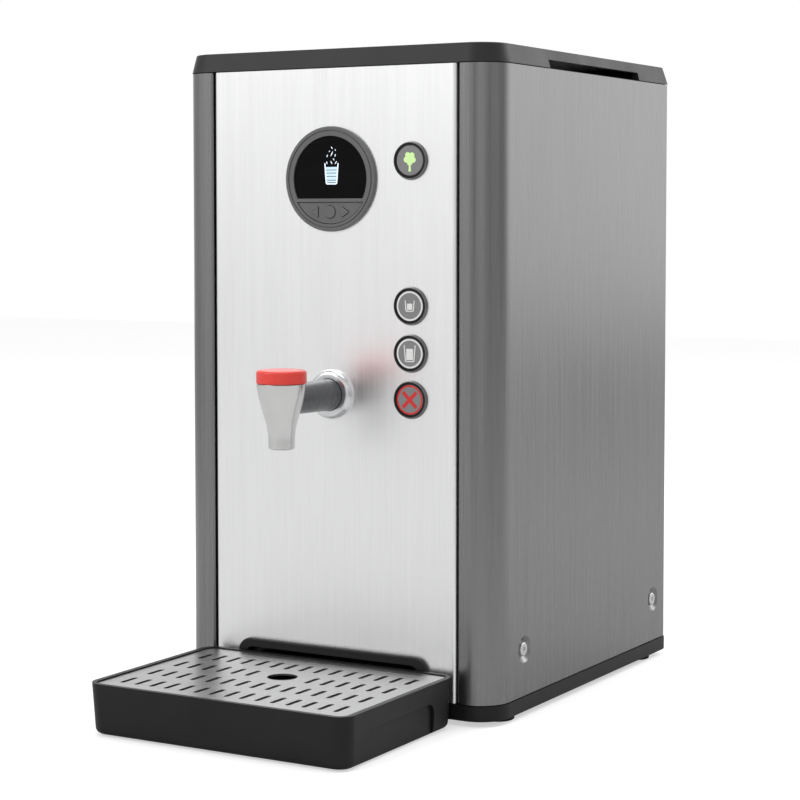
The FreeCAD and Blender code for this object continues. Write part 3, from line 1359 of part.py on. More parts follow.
def main():
    """Build every node and write it."""
    os.makedirs("parts", exist_ok=True)
    save("base_skirt", base_skirt())
    save("rubber_feet", rubber_feet())
    save("chassis_floor", chassis_floor())
    save("side_panel_left", side_panel_with_rear_holes(-1))
    save("side_panel_right", side_panel_with_rear_holes(1))
    save("side_screws", side_screws())
    save("front_panel", front_panel())
    save("rear_panel", rear_panel())
    save("rear_screws", rear_screws())
    save("top_lid", top_lid())
    save("display_ring", display_ring())
    save("display_window", display_window())
    save("display_board", display_board())
    save("display_housing", display_housing())
    save("key_pad", key_pad())
    for name in KEYS:
        save(name + "_key", menu_key(name))
    for name, z in BUTTONS:
        save(name + "_button_bezel", button_bezel(z))
        save(name + "_button_cap", button_cap(z))
        save(name + "_button_spring", button_spring(z))
    save("button_nuts", button_nuts())
    save("button_board", button_board())
    save("tap_flange", tap_flange())
    save("tap_arm", tap_arm())
    save("tap_nut", tap_nut())
    save("spout_body", spout_body())
    save("spout_cap", spout_cap())
    save("tray_collar", tray_collar())
    save("drip_tray", drip_tray())
    save("drip_grid", drip_grid())
    save("boiler_tank", boiler_tank())
    save("boiler_gasket", boiler_gasket())
    save("boiler_lid", boiler_lid())
    save("boiler_lid_screws", boiler_lid_screws())
    save("boiler_stand", boiler_stand())
    save("boiler_insulation", boiler_insulation())
    save("heating_element", heating_element())
    save("boiler_probes", boiler_probes())
    save("dry_boil_cutout", dry_boil_cutout())
    save("outlet_valve", outlet_valve())
    save("outlet_hose", outlet_hose())
    save("inlet_valve", inlet_valve())
    save("water_hoses", water_hoses())
    save("board_bracket", board_bracket())
    save("control_board", control_board())
    save("terminal_block", terminal_block())
    save("cable_gland", cable_gland())
    save("mains_switch_body", mains_switch_body())
    save("mains_rocker", mains_rocker())
    save("wiring_loom", wiring_loom())


if __name__ == "__main__":
    main()
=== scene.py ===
import json
import logging
import math
from collections.abc import Callable, Iterable, Sequence
from dataclasses import dataclass
from enum import Enum

import bmesh
import bpy
from bpy.types import Light, Material, Node, NodeSocket, Object
from bmesh.types import BMesh, BMEdge, BMVert
from mathutils import Matrix, Vector
from mathutils.bvhtree import BVHTree

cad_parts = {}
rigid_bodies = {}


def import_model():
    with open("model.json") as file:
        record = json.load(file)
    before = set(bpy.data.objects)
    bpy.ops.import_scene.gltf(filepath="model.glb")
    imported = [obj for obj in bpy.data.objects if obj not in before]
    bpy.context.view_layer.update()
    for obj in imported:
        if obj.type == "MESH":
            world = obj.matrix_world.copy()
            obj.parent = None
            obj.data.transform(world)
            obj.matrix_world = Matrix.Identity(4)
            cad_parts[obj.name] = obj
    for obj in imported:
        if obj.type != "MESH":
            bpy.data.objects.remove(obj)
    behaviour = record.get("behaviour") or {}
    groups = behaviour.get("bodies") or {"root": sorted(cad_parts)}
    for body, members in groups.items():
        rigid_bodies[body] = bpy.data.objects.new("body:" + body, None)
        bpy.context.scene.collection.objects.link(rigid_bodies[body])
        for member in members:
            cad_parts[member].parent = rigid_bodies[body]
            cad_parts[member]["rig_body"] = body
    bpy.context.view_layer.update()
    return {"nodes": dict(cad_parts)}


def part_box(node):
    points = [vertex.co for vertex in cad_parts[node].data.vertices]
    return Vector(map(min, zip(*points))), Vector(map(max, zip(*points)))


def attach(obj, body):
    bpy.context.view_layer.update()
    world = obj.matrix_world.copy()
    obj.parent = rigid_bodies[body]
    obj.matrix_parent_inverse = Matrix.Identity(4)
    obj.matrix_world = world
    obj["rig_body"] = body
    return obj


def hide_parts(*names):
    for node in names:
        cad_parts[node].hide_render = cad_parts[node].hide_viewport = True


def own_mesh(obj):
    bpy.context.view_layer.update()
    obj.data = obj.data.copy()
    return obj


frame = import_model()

LOG = logging.getLogger("dispenser")

Colour = tuple[float, float, float]
Triple = tuple[float, float, float]
Point2 = tuple[float, float]
MERGE_DISTANCE = 1e-6
HARD_EDGE = math.radians(32.0)
LATHE_EDGE = math.radians(50.0)
QUARTER = math.pi / 2.0
PRINT_RISE = 0.00006


class Facing(Enum):
    """Direction that the height of a turned or cut piece runs along."""

    UP = "up"
    FRONT = "front"
    REAR = "rear"

    def place(self, x: float, y: float, z: float) -> Matrix:
        """Give the matrix that puts a piece made about the Z axis at a point.

        Args:
            x: Place of the piece's base along X.
            y: Place of the piece's base along Y.
            z: Place of the piece's base along Z.

        Returns:
            The matrix, which keeps the piece's own X pointing along +X or -X.
        """
        turns = {
            Facing.UP: Matrix.Identity(4),
            Facing.FRONT: Matrix.Rotation(QUARTER, 4, "X"),
            Facing.REAR: Matrix.Rotation(-QUARTER, 4, "X"),
        }
        return Matrix.Translation((x, y, z)) @ turns[self]


# ---- finishes ----


class Recipe:
    """A material's node tree, with short calls for the nodes that the finishes share."""

    def __init__(self, name: str) -> None:
        """Start a material that has one Principled shader.

        Args:
            name: Name of the material.
        """
        self.material = bpy.data.materials.new(name)
        self.material.use_nodes = True
        self.tree = self.material.node_tree
        self.tree.nodes.clear()
        self.shader = self.tree.nodes.new("ShaderNodeBsdfPrincipled")
        output = self.tree.nodes.new("ShaderNodeOutputMaterial")
        self.tree.links.new(self.shader.outputs["BSDF"], output.inputs["Surface"])

    def node(self, kind: str, **inputs: object) -> Node:
        """Add a node and fill its named inputs.

        Args:
            kind: Node type without its ShaderNode prefix.
            inputs: Values or sockets by input name, with _ for a space.

        Returns:
            The new node.
        """
        made = self.tree.nodes.new("ShaderNode" + kind)
        for key, value in inputs.items():
            socket = made.inputs[key.replace("_", " ")]
            self.feed(socket, value)
        return made

    def feed(self, socket: NodeSocket, value: object) -> None:
        """Link a socket into an input, or set the input's value.

        Args:
            socket: The input.
            value: An output socket, a number or a tuple.
        """
        if isinstance(value, NodeSocket):
            self.tree.links.new(value, socket)
        elif isinstance(value, tuple) and len(value) == 3 and socket.type == "RGBA":
            socket.default_value = (*value, 1.0)
        else:
            socket.default_value = value

    def coords(self, stretch: Triple = (1.0, 1.0, 1.0)) -> NodeSocket:
        """Give the object's own coordinates, multiplied along each axis."""
        source = self.tree.nodes.new("ShaderNodeTexCoord").outputs["Object"]
        return self.node("Mapping", Vector=source, Scale=stretch).outputs["Vector"]

    def noise(self, stretch: Triple, detail: float = 2.0, distortion: float = 0.0) -> NodeSocket:
        """Give a noise whose features are one over stretch metres long along each axis."""
        made = self.node("TexNoise", Vector=self.coords(stretch), Scale=1.0, Detail=detail,
                         Distortion=distortion)
        return made.outputs["Fac"]

    def spread(self, value: NodeSocket, low: float, high: float, start: float = 0.25,
               end: float = 0.75) -> NodeSocket:
        """Map a value from start..end to low..high."""
        made = self.node("MapRange", Value=value, From_Min=start, From_Max=end, To_Min=low, To_Max=high)
        return made.outputs["Result"]

    def blend(self, amount: NodeSocket, first: object, second: object) -> NodeSocket:
        """Mix two colours by an amount."""
        made = self.tree.nodes.new("ShaderNodeMix")
        made.data_type = "RGBA"
        self.feed(made.inputs["Factor"], amount)
        colours = [socket for socket in made.inputs if socket.type == "RGBA"]
        self.feed(colours[0], first)
        self.feed(colours[1], second)
        return next(socket for socket in made.outputs if socket.type == "RGBA")

    def total(self, first: NodeSocket, second: NodeSocket, share: float) -> NodeSocket:
        """Add a share of the second value to the first."""
        made = self.tree.nodes.new("ShaderNodeMath")
        made.operation = "MULTIPLY_ADD"
        self.feed(made.inputs[0], second)
        self.feed(made.inputs[1], share)
        self.feed(made.inputs[2], first)
        return made.outputs[0]

    def relief(self, height: NodeSocket, depth: float, strength: float = 1.0) -> None:
        """Raise the surface by a height map of the given depth in metres."""
        made = self.node("Bump", Height=height, Distance=depth, Strength=strength)
        self.feed(self.shader.inputs["Normal"], made.outputs["Normal"])

    def set(self, **inputs: object) -> None:
        """Fill the shader's named inputs, with _ for a space."""
        for key, value in inputs.items():
            self.feed(self.shader.inputs[key.replace("_", " ")], value)


def shaded(tone: Colour, factor: float) -> Colour:
    """Multiply a colour, keeping each channel at one or less."""
    return tuple(min(1.0, channel * factor) for channel in tone)


@dataclass(frozen=True)
class BrushedSteel:
    """Sheet steel with a straight grain, along the axis where grain has its lowest figure."""

    name: str
    tone: Colour
    roughness: float = 0.3
    contrast: float = 0.2
    depth: float = 0.000012
    grain: Triple = (2100.0, 2100.0, 22.0)
    bands: Triple = (700.0, 700.0, 6.0)

    def make(self) -> Material:
        """Build the material."""
        recipe = Recipe(self.name)
        fine = recipe.noise(self.grain, detail=3.0)
        broad = recipe.noise(self.bands, detail=3.0)
        cloud = recipe.noise((5.0, 5.0, 3.0), detail=1.0)
        mixed = recipe.total(fine, broad, 0.6)
        low = shaded(self.tone, 1.0 - self.contrast)
        high = shaded(self.tone, 1.0 + self.contrast * 0.5)
        colour = recipe.blend(recipe.spread(mixed, 0.0, 1.0, 0.5, 1.1), low, high)
        rough = recipe.spread(recipe.total(broad, cloud, 0.7), self.roughness - 0.05, self.roughness + 0.07,
                              0.5, 1.2)
        recipe.set(Base_Color=colour, Roughness=rough, Metallic=1.0)
        recipe.relief(mixed, self.depth, 0.6)
        return recipe.material


@dataclass(frozen=True)
class TurnedMetal:
    """Metal with fine turning marks, closest together along the axis where turning is highest."""

    name: str
    tone: Colour
    roughness: float = 0.22
    turning: Triple = (60.0, 60.0, 3200.0)
    contrast: float = 0.12
    depth: float = 0.000006
    tarnish: float = 0.12

    def make(self) -> Material:
        """Build the material."""
        recipe = Recipe(self.name)
        marks = recipe.noise(self.turning, detail=2.0)
        cloud = recipe.noise((120.0, 120.0, 120.0), detail=3.0, distortion=0.4)
        low = shaded(self.tone, 1.0 - self.contrast)
        worn = shaded(self.tone, 1.0 - self.tarnish)
        colour = recipe.blend(recipe.spread(marks, 0.0, 1.0), low, self.tone)
        colour = recipe.blend(recipe.spread(cloud, 0.0, 0.5), colour, worn)
        rough = recipe.spread(recipe.total(marks, cloud, 0.6), self.roughness - 0.04, self.roughness + 0.06,
                              0.4, 1.1)
        recipe.set(Base_Color=colour, Roughness=rough, Metallic=1.0)
        recipe.relief(marks, self.depth, 0.5)
        return recipe.material


@dataclass(frozen=True)
class MouldedPlastic:
    """Plastic from a spark-eroded mould: fine dimples, soft tone drift and a little handling shine."""

    name: str
    tone: Colour
    roughness: float = 0.42
    dimple: float = 1500.0
    depth: float = 0.00004
    drift: float = 0.25
    coat: float = 0.0
    gloss: float = 0.5

    def make(self) -> Material:
        """Build the material."""
        recipe = Recipe(self.name)
        dimples = recipe.noise((self.dimple,) * 3, detail=2.0)
        cloud = recipe.noise((28.0, 28.0, 28.0), detail=3.0, distortion=0.6)
        low = shaded(self.tone, 1.0 - self.drift)
        high = shaded(self.tone, 1.0 + self.drift)
        share = recipe.spread(recipe.total(cloud, dimples, 0.25), 0.0, 1.0, 0.35, 0.9)
        colour = recipe.blend(share, low, high)
        rough = recipe.spread(recipe.total(cloud, dimples, 0.5), self.roughness - 0.06, self.roughness + 0.08,
                              0.4, 1.1)
        recipe.set(Base_Color=colour, Roughness=rough, Coat_Weight=self.coat, Coat_Roughness=0.15,
                   Specular_IOR_Level=self.gloss)
        recipe.relief(dimples, self.depth, 0.35)
        return recipe.material


@dataclass(frozen=True)
class DarkGlass:
    """Gloss black window with faint wipe marks."""

    name: str
    tone: Colour = (0.0025, 0.0025, 0.003)

    def make(self) -> Material:
        """Build the material."""
        recipe = Recipe(self.name)
        wipes = recipe.noise((40.0, 40.0, 220.0), detail=4.0, distortion=1.2)
        colour = recipe.blend(recipe.spread(wipes, 0.0, 1.0), self.tone, shaded(self.tone, 1.8))
        rough = recipe.spread(wipes, 0.03, 0.09)
        recipe.set(Base_Color=colour, Roughness=rough, Specular_IOR_Level=0.06)
        return recipe.material


@dataclass(frozen=True)
class Ink:
    """Printed or lit mark, with the fine unevenness of a screened print. A glow on a printed mark is painted
    light.
    """

    name: str
    tone: Colour
    glow: float = 0.0
    roughness: float = 0.45

    def make(self) -> Material:
        """Build the material."""
        recipe = Recipe(self.name)
        screen = recipe.noise((2600.0,) * 3, detail=1.0)
        colour = recipe.blend(recipe.spread(screen, 0.0, 1.0), shaded(self.tone, 0.9), self.tone)
        rough = recipe.spread(screen, self.roughness - 0.08, self.roughness + 0.08)
        recipe.set(Base_Color=colour, Roughness=rough, Emission_Color=colour, Emission_Strength=self.glow)
        return recipe.material


@dataclass(frozen=True)
class Cellular:
    """Foam, board or woven stuff: cells of one tone with edges of another."""

    name: str
    cell: Colour
    edge: Colour
    size: float = 0.003
    roughness: float = 0.8
    depth: float = 0.0003

    def make(self) -> Material:
        """Build the material."""
        recipe = Recipe(self.name)
        cells = recipe.node("TexVoronoi", Vector=recipe.coords((1.0 / self.size,) * 3), Scale=1.0)
        distance = cells.outputs["Distance"]
        cloud = recipe.noise((45.0, 45.0, 45.0), detail=3.0)
        colour = recipe.blend(recipe.spread(distance, 0.0, 1.0, 0.3, 0.7), self.cell, self.edge)
        colour = recipe.blend(recipe.spread(cloud, 0.0, 0.35), colour, shaded(self.cell, 0.6))
        rough = recipe.spread(cloud, self.roughness - 0.1, self.roughness + 0.1)
        recipe.set(Base_Color=colour, Roughness=rough)
        recipe.relief(distance, self.depth, 0.4)
        return recipe.material


Finish = BrushedSteel | TurnedMetal | MouldedPlastic | DarkGlass | Ink | Cellular


class Palette:
    """Every finish on the machine, made once and shared by the pieces that have it."""

    FINISHES: dict[str, Finish] = {finish.name: finish for finish in (
        BrushedSteel("front_steel", (0.93, 0.932, 0.937), 0.32, 0.05),
        BrushedSteel("side_steel", (0.25, 0.25, 0.252), 0.27, 0.13),
        BrushedSteel("satin_steel", (0.4, 0.4, 0.405), 0.36, 0.13),
        BrushedSteel("grid_steel", (0.42, 0.42, 0.42), 0.32, 0.07, grain=(16.0, 1700.0, 1700.0),
                     bands=(4.0, 300.0, 300.0)),
        BrushedSteel("dark_steel", (0.2, 0.2, 0.203), 0.34, 0.13),
        BrushedSteel("bright_steel", (0.86, 0.862, 0.867), 0.33, 0.05),
        BrushedSteel("inner_steel", (0.5, 0.51, 0.52), 0.4, 0.15, grain=(12.0, 900.0, 900.0)),
        TurnedMetal("screw_steel", (0.72, 0.72, 0.72), 0.26),
        TurnedMetal("chrome", (0.78, 0.79, 0.8), 0.12, turning=(200.0, 2600.0, 200.0)),
        TurnedMetal("spout_metal", (0.72, 0.72, 0.715), 0.2, contrast=0.05, depth=0.000002,
                    tarnish=0.05),
        TurnedMetal("arm_metal", (0.13, 0.132, 0.138), 0.26, turning=(60.0, 2600.0, 60.0)),
        TurnedMetal("bezel_metal", (0.2, 0.2, 0.205), 0.32, turning=(60.0, 2600.0, 60.0)),
        TurnedMetal("brass", (0.72, 0.52, 0.24), 0.3, turning=(60.0, 2600.0, 60.0)),
        TurnedMetal("element_metal", (0.4, 0.36, 0.33), 0.35, tarnish=0.4),
        MouldedPlastic("black_plastic", (0.0095, 0.0095, 0.01), 0.42, gloss=0.25),
        MouldedPlastic("lid_plastic", (0.024, 0.024, 0.025), 0.4, dimple=2200.0, drift=0.04, gloss=0.22),
        MouldedPlastic("grey_plastic", (0.13, 0.13, 0.133), 0.38, drift=0.12, gloss=0.4),
        MouldedPlastic("cap_plastic", (0.24, 0.24, 0.244), 0.4, drift=0.08, gloss=0.3),
        MouldedPlastic("red_plastic", (0.82, 0.05, 0.036), 0.34, drift=0.08, coat=0.2),
        MouldedPlastic("valve_plastic", (0.5, 0.5, 0.47), 0.45),
        MouldedPlastic("rocker_plastic", (0.02, 0.02, 0.021), 0.25, coat=0.4),
        MouldedPlastic("wire_plastic", (0.2, 0.05, 0.03), 0.4),
        MouldedPlastic("silicone", (0.62, 0.6, 0.56), 0.5, dimple=600.0),
        MouldedPlastic("rubber", (0.01, 0.01, 0.01), 0.7, dimple=900.0, gloss=0.2),
        DarkGlass("dark_window"),
        Cellular("foam", (0.05, 0.055, 0.06), (0.02, 0.02, 0.02)),
        Cellular("circuit_board", (0.01, 0.12, 0.045), (0.03, 0.24, 0.09), 0.0045, 0.4, 0.0001),
        Ink("lit_mark", (0.8, 0.9, 1.0), 0.55),
        Ink("water_mark", (0.55, 0.72, 0.85), 0.45),
        Ink("white_ink", (0.85, 0.85, 0.84)),
        Ink("red_ink", (0.68, 0.022, 0.02)),
        # Green print for the eco tree; its glow is painted light that brightens the print.
        Ink("green_ink_painted_glow", (0.6, 0.84, 0.36), 0.25),
    )}

    def __init__(self) -> None:
        """Start with no material made."""
        self.made: dict[str, Material] = {}

    def get(self, name: str) -> Material:
        """Give the material of a finish, making it when it is first asked for."""
        if name not in self.made:
            self.made[name] = self.FINISHES[name].make()
        return self.made[name]


# ---- mesh tools ----


def circle_segments(radius: float) -> int:
    """Give a count of sides that keeps a circle's flats under about 0.7 mm."""
    return max(24, min(128, int(2.0 * math.pi * radius / 0.0007) // 4 * 4))


def path_edges(bm: BMesh, points: Sequence[Triple], closed: bool) -> list[BMVert]:
    """Join points with edges.

    Args:
        bm: Mesh that the path is drawn in.
        points: Corners in order.
        closed: Whether the last corner joins the first.

    Returns:
        The corners' vertices.
    """
    corners = [bm.verts.new(point) for point in points]
    for pair in zip(corners, corners[1:]):
        bm.edges.new(pair)
    if closed:
        bm.edges.new((corners[-1], corners[0]))
    return corners


def round_corners(bm: BMesh, corners: Sequence[BMVert], setbacks: Sequence[float], steps: int = 8) -> None:
    """Round the corners of a path.

    Args:
        bm: Mesh that holds the path.
        corners: The path's corner vertices.
        setbacks: How far each corner's arc starts from the corner, zero for a sharp one.
        steps: Straight parts in each arc.
    """
    for corner, setback in zip(corners, setbacks):
        if setback > 0.0:
            bmesh.ops.bevel(bm, geom=[corner], offset=setback, offset_type="OFFSET", segments=steps,
                            profile=0.5, affect="VERTICES", material=-1, clamp_overlap=False)


def turned(profile: Sequence[Triple], place: Matrix, closed: bool = False, steps: int = 8) -> BMesh:
    """Spin a half profile round its axis.

    Args:
        profile: Radius, height and corner setback of each point.
        place: Matrix from the Z axis to the piece's place.
        closed: Whether the last point joins the first, as in a ring.
        steps: Straight parts in each rounded corner.

    Returns:
        The closed turned mesh.
    """
    bm = bmesh.new()
    corners = path_edges(bm, [(radius, 0.0, height) for radius, height, _ in profile], closed)
    round_corners(bm, corners, [setback for _, _, setback in profile], steps)
    sides = circle_segments(max(radius for radius, _, _ in profile))
    bmesh.ops.spin(bm, geom=bm.verts[:] + bm.edges[:], cent=(0.0, 0.0, 0.0), axis=(0.0, 0.0, 1.0),
                   dvec=(0.0, 0.0, 0.0), angle=2.0 * math.pi, steps=sides, use_merge=True)
    tidy(bm)
    bmesh.ops.transform(bm, matrix=place, verts=bm.verts)
    return bm


def tidy(bm: BMesh) -> None:
    """Merge doubled points, drop flat slivers and point the faces outwards."""
    bmesh.ops.remove_doubles(bm, verts=bm.verts, dist=MERGE_DISTANCE)
    bmesh.ops.dissolve_degenerate(bm, edges=bm.edges, dist=MERGE_DISTANCE)
    bmesh.ops.recalc_face_normals(bm, faces=bm.faces)


def raised(bm: BMesh, height: float) -> list[BMVert]:
    """Extrude every face along Z and give the moved vertices."""
    grown = bmesh.ops.extrude_face_region(bm, geom=bm.faces[:])["geom"]
    moved = [item for item in grown if isinstance(item, BMVert)]
    bmesh.ops.translate(bm, verts=moved, vec=(0.0, 0.0, height))
    bmesh.ops.recalc_face_normals(bm, faces=bm.faces)
    return moved


def cut_out(points: Sequence[Point2], setbacks: Sequence[float], height: float, place: Matrix,
            steps: int = 6) -> BMesh:
    """Make a flat shape with rounded corners and some thickness.

    Args:
        points: Outline corners in order.
        setbacks: Each corner's setback, zero for a sharp one.
        height: Thickness along the piece's own Z.
        place: Matrix from the Z axis to the piece's place.
        steps: Straight parts in each rounded corner.

    Returns:
        The closed mesh.
    """
    bm = bmesh.new()
    corners = path_edges(bm, [(u, v, 0.0) for u, v in points], True)
    round_corners(bm, corners, setbacks, steps)
    bmesh.ops.triangle_fill(bm, edges=bm.edges[:], use_beauty=True, use_dissolve=False)
    raised(bm, height)
    bmesh.ops.transform(bm, matrix=place, verts=bm.verts)
    return bm


def joined(shapes: Iterable[BMesh]) -> BMesh:
    """Put several meshes into one, and free them."""
    whole = bmesh.new()
    for shape in shapes:
        holder = bpy.data.meshes.new("holder")
        shape.to_mesh(holder)
        shape.free()
        whole.from_mesh(holder)
        bpy.data.meshes.remove(holder)
    return whole


def strip(bm: BMesh, edges: Sequence[BMEdge], step: Triple) -> list[BMEdge]:
    """Extrude edges by a step and give the new outer edges."""
    grown = bmesh.ops.extrude_edge_only(bm, edges=edges)["geom"]
    moved = [item for item in grown if isinstance(item, BMVert)]
    bmesh.ops.translate(bm, verts=moved, vec=step)
    return [item for item in grown if isinstance(item, BMEdge)]


def bent(bm: BMesh, edges: Sequence[BMEdge], centre: Point2, angle: float, steps: int) -> list[BMEdge]:
    """Roll upright edges round an upright line and give the new outer edges.

    Args:
        bm: Mesh of the sheet.
        edges: Edges at the end of the flat.
        centre: X and Y of the bend's centre.
        angle: Turn, positive against the clock from above.
        steps: Flats in the bend.

    Returns:
        The edges at the bend's far end.
    """
    last = bmesh.ops.spin(bm, geom=edges, cent=(*centre, 0.0), axis=(0.0, 0.0, 1.0), dvec=(0.0, 0.0, 0.0),
                          angle=angle, steps=steps, use_merge=False)["geom_last"]
    return [item for item in last if isinstance(item, BMEdge)]


def copy_of(node: str) -> BMesh:
    """Give a merged copy of a CAD node's mesh, with its flats as single faces."""
    bm = bmesh.new()
    bm.from_mesh(frame["nodes"][node].data)
    bmesh.ops.remove_doubles(bm, verts=bm.verts, dist=MERGE_DISTANCE)
    bmesh.ops.dissolve_limit(bm, angle_limit=math.radians(0.5), verts=bm.verts, edges=bm.edges,
                             delimit={"NORMAL"})
    return bm


@dataclass
class Bench:
    """Turns finished meshes into pieces on the machine."""

    palette: Palette

    def settle(self, bm: BMesh, name: str, finish: str, body: str, slot: str, nodes: Sequence[str] = (),
               soften: float = 0.0, wall: float = 0.0, hard: float = HARD_EDGE) -> Object:
        """Make a piece from a mesh, dress it and set it on its body.

        Args:
            bm: The piece's mesh, which is freed.
            name: Name of the piece.
            finish: Name of its finish.
            body: Body that it rides on.
            slot: Material slot of the record; not used.
            nodes: CAD nodes that it stands for.
            soften: Width that sharp edges are rounded by.
            wall: Thickness given to an open sheet, inwards.
            hard: Angle over which an edge is shaded as a crease.

        Returns:
            The piece.
        """
        if wall > 0.0:
            bmesh.ops.solidify(bm, geom=bm.faces[:], thickness=wall)
        mesh = bpy.data.meshes.new(name)
        bm.to_mesh(mesh)
        bm.free()
        mesh.shade_smooth()
        mesh.materials.append(self.palette.get(finish))
        piece = bpy.data.objects.new(name, mesh)
        bpy.context.scene.collection.objects.link(piece)
        if soften > 0.0:
            edge = piece.modifiers.new("edges", "BEVEL")
            edge.width = soften
            edge.segments = 2
            edge.limit_method = "ANGLE"
            edge.angle_limit = hard
            edge.material = -1
            edge.profile = 0.5
        else:
            mesh.set_sharp_from_angle(angle=hard)
        weights = piece.modifiers.new("shading", "WEIGHTED_NORMAL")
        weights.keep_sharp = True
        weights.weight = 50
        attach(piece, body)
        if nodes:
            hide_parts(*nodes)
        LOG.info("%s: %d faces, on %s", name, len(mesh.polygons), body)
        return piece

    def refine(self, node: str, finish: str, soften: float, slot: str = "") -> None:
        """Stand a merged and edge-rounded copy in for a CAD node of one moulded or cut part.

        Args:
            node: The CAD node.
            finish: Name of the finish.
            soften: Width that sharp edges are rounded by.
            slot: Slot of the record, where its name isn't the finish's.
        """
        body = frame["nodes"][node]["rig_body"]
        self.settle(copy_of(node), node + "_shell", finish, body, slot or finish, [node], soften)


# ---- assemblies ----


@dataclass
class Casing:
    """Sheet metal casing: front sheet, two wrap-round side sheets, lid, plinth, feet and screws."""

    bench: Bench
    sheet: float = 0.0012
    front_bend: float = 0.0025
    flat_strip: float = 0.0006
    return_depth: float = 0.012
    side_bend: float = 0.0016
    corner: float = 0.0205
    rear_bend: float = 0.003
    display_hole: float = 0.0296
    button_hole: float = 0.011
    tap_hole: float = 0.0073
    arch_half: float = 0.0677
    arch_top: float = 0.0373
    arch_corner: float = 0.0067
    dish_radius: float = 0.0085
    dish_seat: float = 0.0052
    dish_depth: float = 0.0024
    screw_hole: float = 0.0021

    def build(self) -> None:
        """Build every outer piece of the casing."""
        self.front_sheet()
        self.side_sheet(1.0, "side_panel_right")
        self.side_sheet(-1.0, "side_panel_left")
        self.bench.refine("top_lid", "lid_plastic", 0.0006)
        self.bench.refine("base_skirt", "black_plastic", 0.0004)
        self.bench.refine("rubber_feet", "rubber", 0.0005)
        self.bench.refine("side_screws", "screw_steel", 0.00015)

    def front_sheet(self) -> None:
        """Build the bright front sheet with its holes and returned edges."""
        low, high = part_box("front_panel")
        half = high.x - self.front_bend - self.flat_strip
        bm = bmesh.new()
        outline = [(-half, low.z), (-self.arch_half, low.z), (-self.arch_half, self.arch_top),
                   (self.arch_half, self.arch_top), (self.arch_half, low.z), (half, low.z),
                   (half, high.z), (-half, high.z)]
        setbacks = [0.0, 0.0, self.arch_corner, self.arch_corner, 0.0, 0.0, 0.0, 0.0]
        corners = path_edges(bm, [(x, low.y, z) for x, z in outline], True)
        round_corners(bm, corners, setbacks)
        holes = [(middle("display_ring"), self.display_hole), (middle("tap_flange"), self.tap_hole)]
        holes += [(middle(button + "_button_bezel"), self.button_hole) for button in Buttons.NAMES]
        for centre, radius in holes:
            place = Facing.FRONT.place(centre.x, low.y, centre.z)
            bmesh.ops.create_circle(bm, cap_ends=False, radius=radius, segments=circle_segments(radius),
                                    matrix=place)
        bmesh.ops.triangle_fill(bm, edges=bm.edges[:], use_beauty=True, use_dissolve=False)
        turn_to(bm, Vector((0.0, -1.0, 0.0)))
        for side in (-1.0, 1.0):
            edges = [edge for edge in bm.edges
                     if all(abs(vert.co.x - side * half) < MERGE_DISTANCE for vert in edge.verts)]
            edges = strip(bm, edges, (side * self.flat_strip, 0.0, 0.0))
            centre = (side * (half + self.flat_strip), low.y + self.front_bend)
            far = bent(bm, edges, centre, side * QUARTER, 8)
            strip(bm, far, (0.0, self.return_depth - self.front_bend, 0.0))
        bmesh.ops.recalc_face_normals(bm, faces=bm.faces)
        turn_to(bm, Vector((0.0, -1.0, 0.0)))
        self.bench.settle(bm, "front_sheet", "front_steel", "casing", "bright_steel", ["front_panel"],
                          wall=self.sheet)

    def side_sheet(self, side: float, node: str) -> None:
        """Build a side sheet: dished flat, rounded front corner, front flange and rear flange.

        Args:
            side: 1 for the right side and -1 for the left.
            node: The CAD node that it stands for.
        """
        low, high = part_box("side_panel_right")
        seam = low.x
        outer = high.x
        bm = bmesh.new()
        corner_y = low.y + self.corner
        rear_y = high.y - self.rear_bend
        front = corner_y + self.flat_strip
        rear = rear_y - self.flat_strip
        outline = [(outer, front, low.z), (outer, rear, low.z), (outer, rear, high.z), (outer, front, high.z)]
        path_edges(bm, outline, True)
        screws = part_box("side_screws")
        screw_z = (screws[0].z + screws[1].z) / 2.0
        head = (screws[1].z - screws[0].z) / 2.0
        to_side = Matrix.Rotation(QUARTER, 4, "Y")
        rims = []
        for y in (screws[0].y + head, screws[1].y - head):
            place = Matrix.Translation((outer, y, screw_z)) @ to_side
            made = bmesh.ops.create_circle(bm, cap_ends=False, radius=self.dish_radius, segments=48,
                                           matrix=place)
            rims.append((y, {edge for vert in made["verts"] for edge in vert.link_edges}))
        bmesh.ops.triangle_fill(bm, edges=bm.edges[:], use_beauty=True, use_dissolve=False)
        for y, rim in rims:
            ring = strip(bm, list(rim), (-self.dish_depth, 0.0, 0.0))
            self.shrink(bm, ring, (y, screw_z), self.dish_seat / self.dish_radius)
            ring = strip(bm, ring, (0.0, 0.0, 0.0))
            self.shrink(bm, ring, (y, screw_z), self.screw_hole / self.dish_seat)
        far = strip(bm, self.edges_at(bm, outer, front), (0.0, -self.flat_strip, 0.0))
        far = bent(bm, far, (outer - self.corner, corner_y), -QUARTER, 24)
        flange = outer - self.corner - seam - self.side_bend
        for step in (self.flat_strip, flange - 2.0 * self.flat_strip, self.flat_strip):
            far = strip(bm, far, (-step, 0.0, 0.0))
        far = bent(bm, far, (seam + self.side_bend, low.y + self.side_bend), -QUARTER, 6)
        strip(bm, far, (0.0, self.return_depth - self.side_bend, 0.0))
        far = strip(bm, self.edges_at(bm, outer, rear), (0.0, self.flat_strip, 0.0))
        far = bent(bm, far, (outer - self.rear_bend, rear_y), QUARTER, 8)
        strip(bm, far, (seam - outer + self.rear_bend, 0.0, 0.0))
        bmesh.ops.recalc_face_normals(bm, faces=bm.faces)
        turn_to(bm, Vector((1.0, 0.0, 0.0)))
        if side < 0.0:
            bmesh.ops.scale(bm, verts=bm.verts, vec=(-1.0, 1.0, 1.0))
            bmesh.ops.reverse_faces(bm, faces=bm.faces)
        self.bench.settle(bm, node + "_sheet", "side_steel", "casing", "dark_steel", [node], wall=self.sheet)

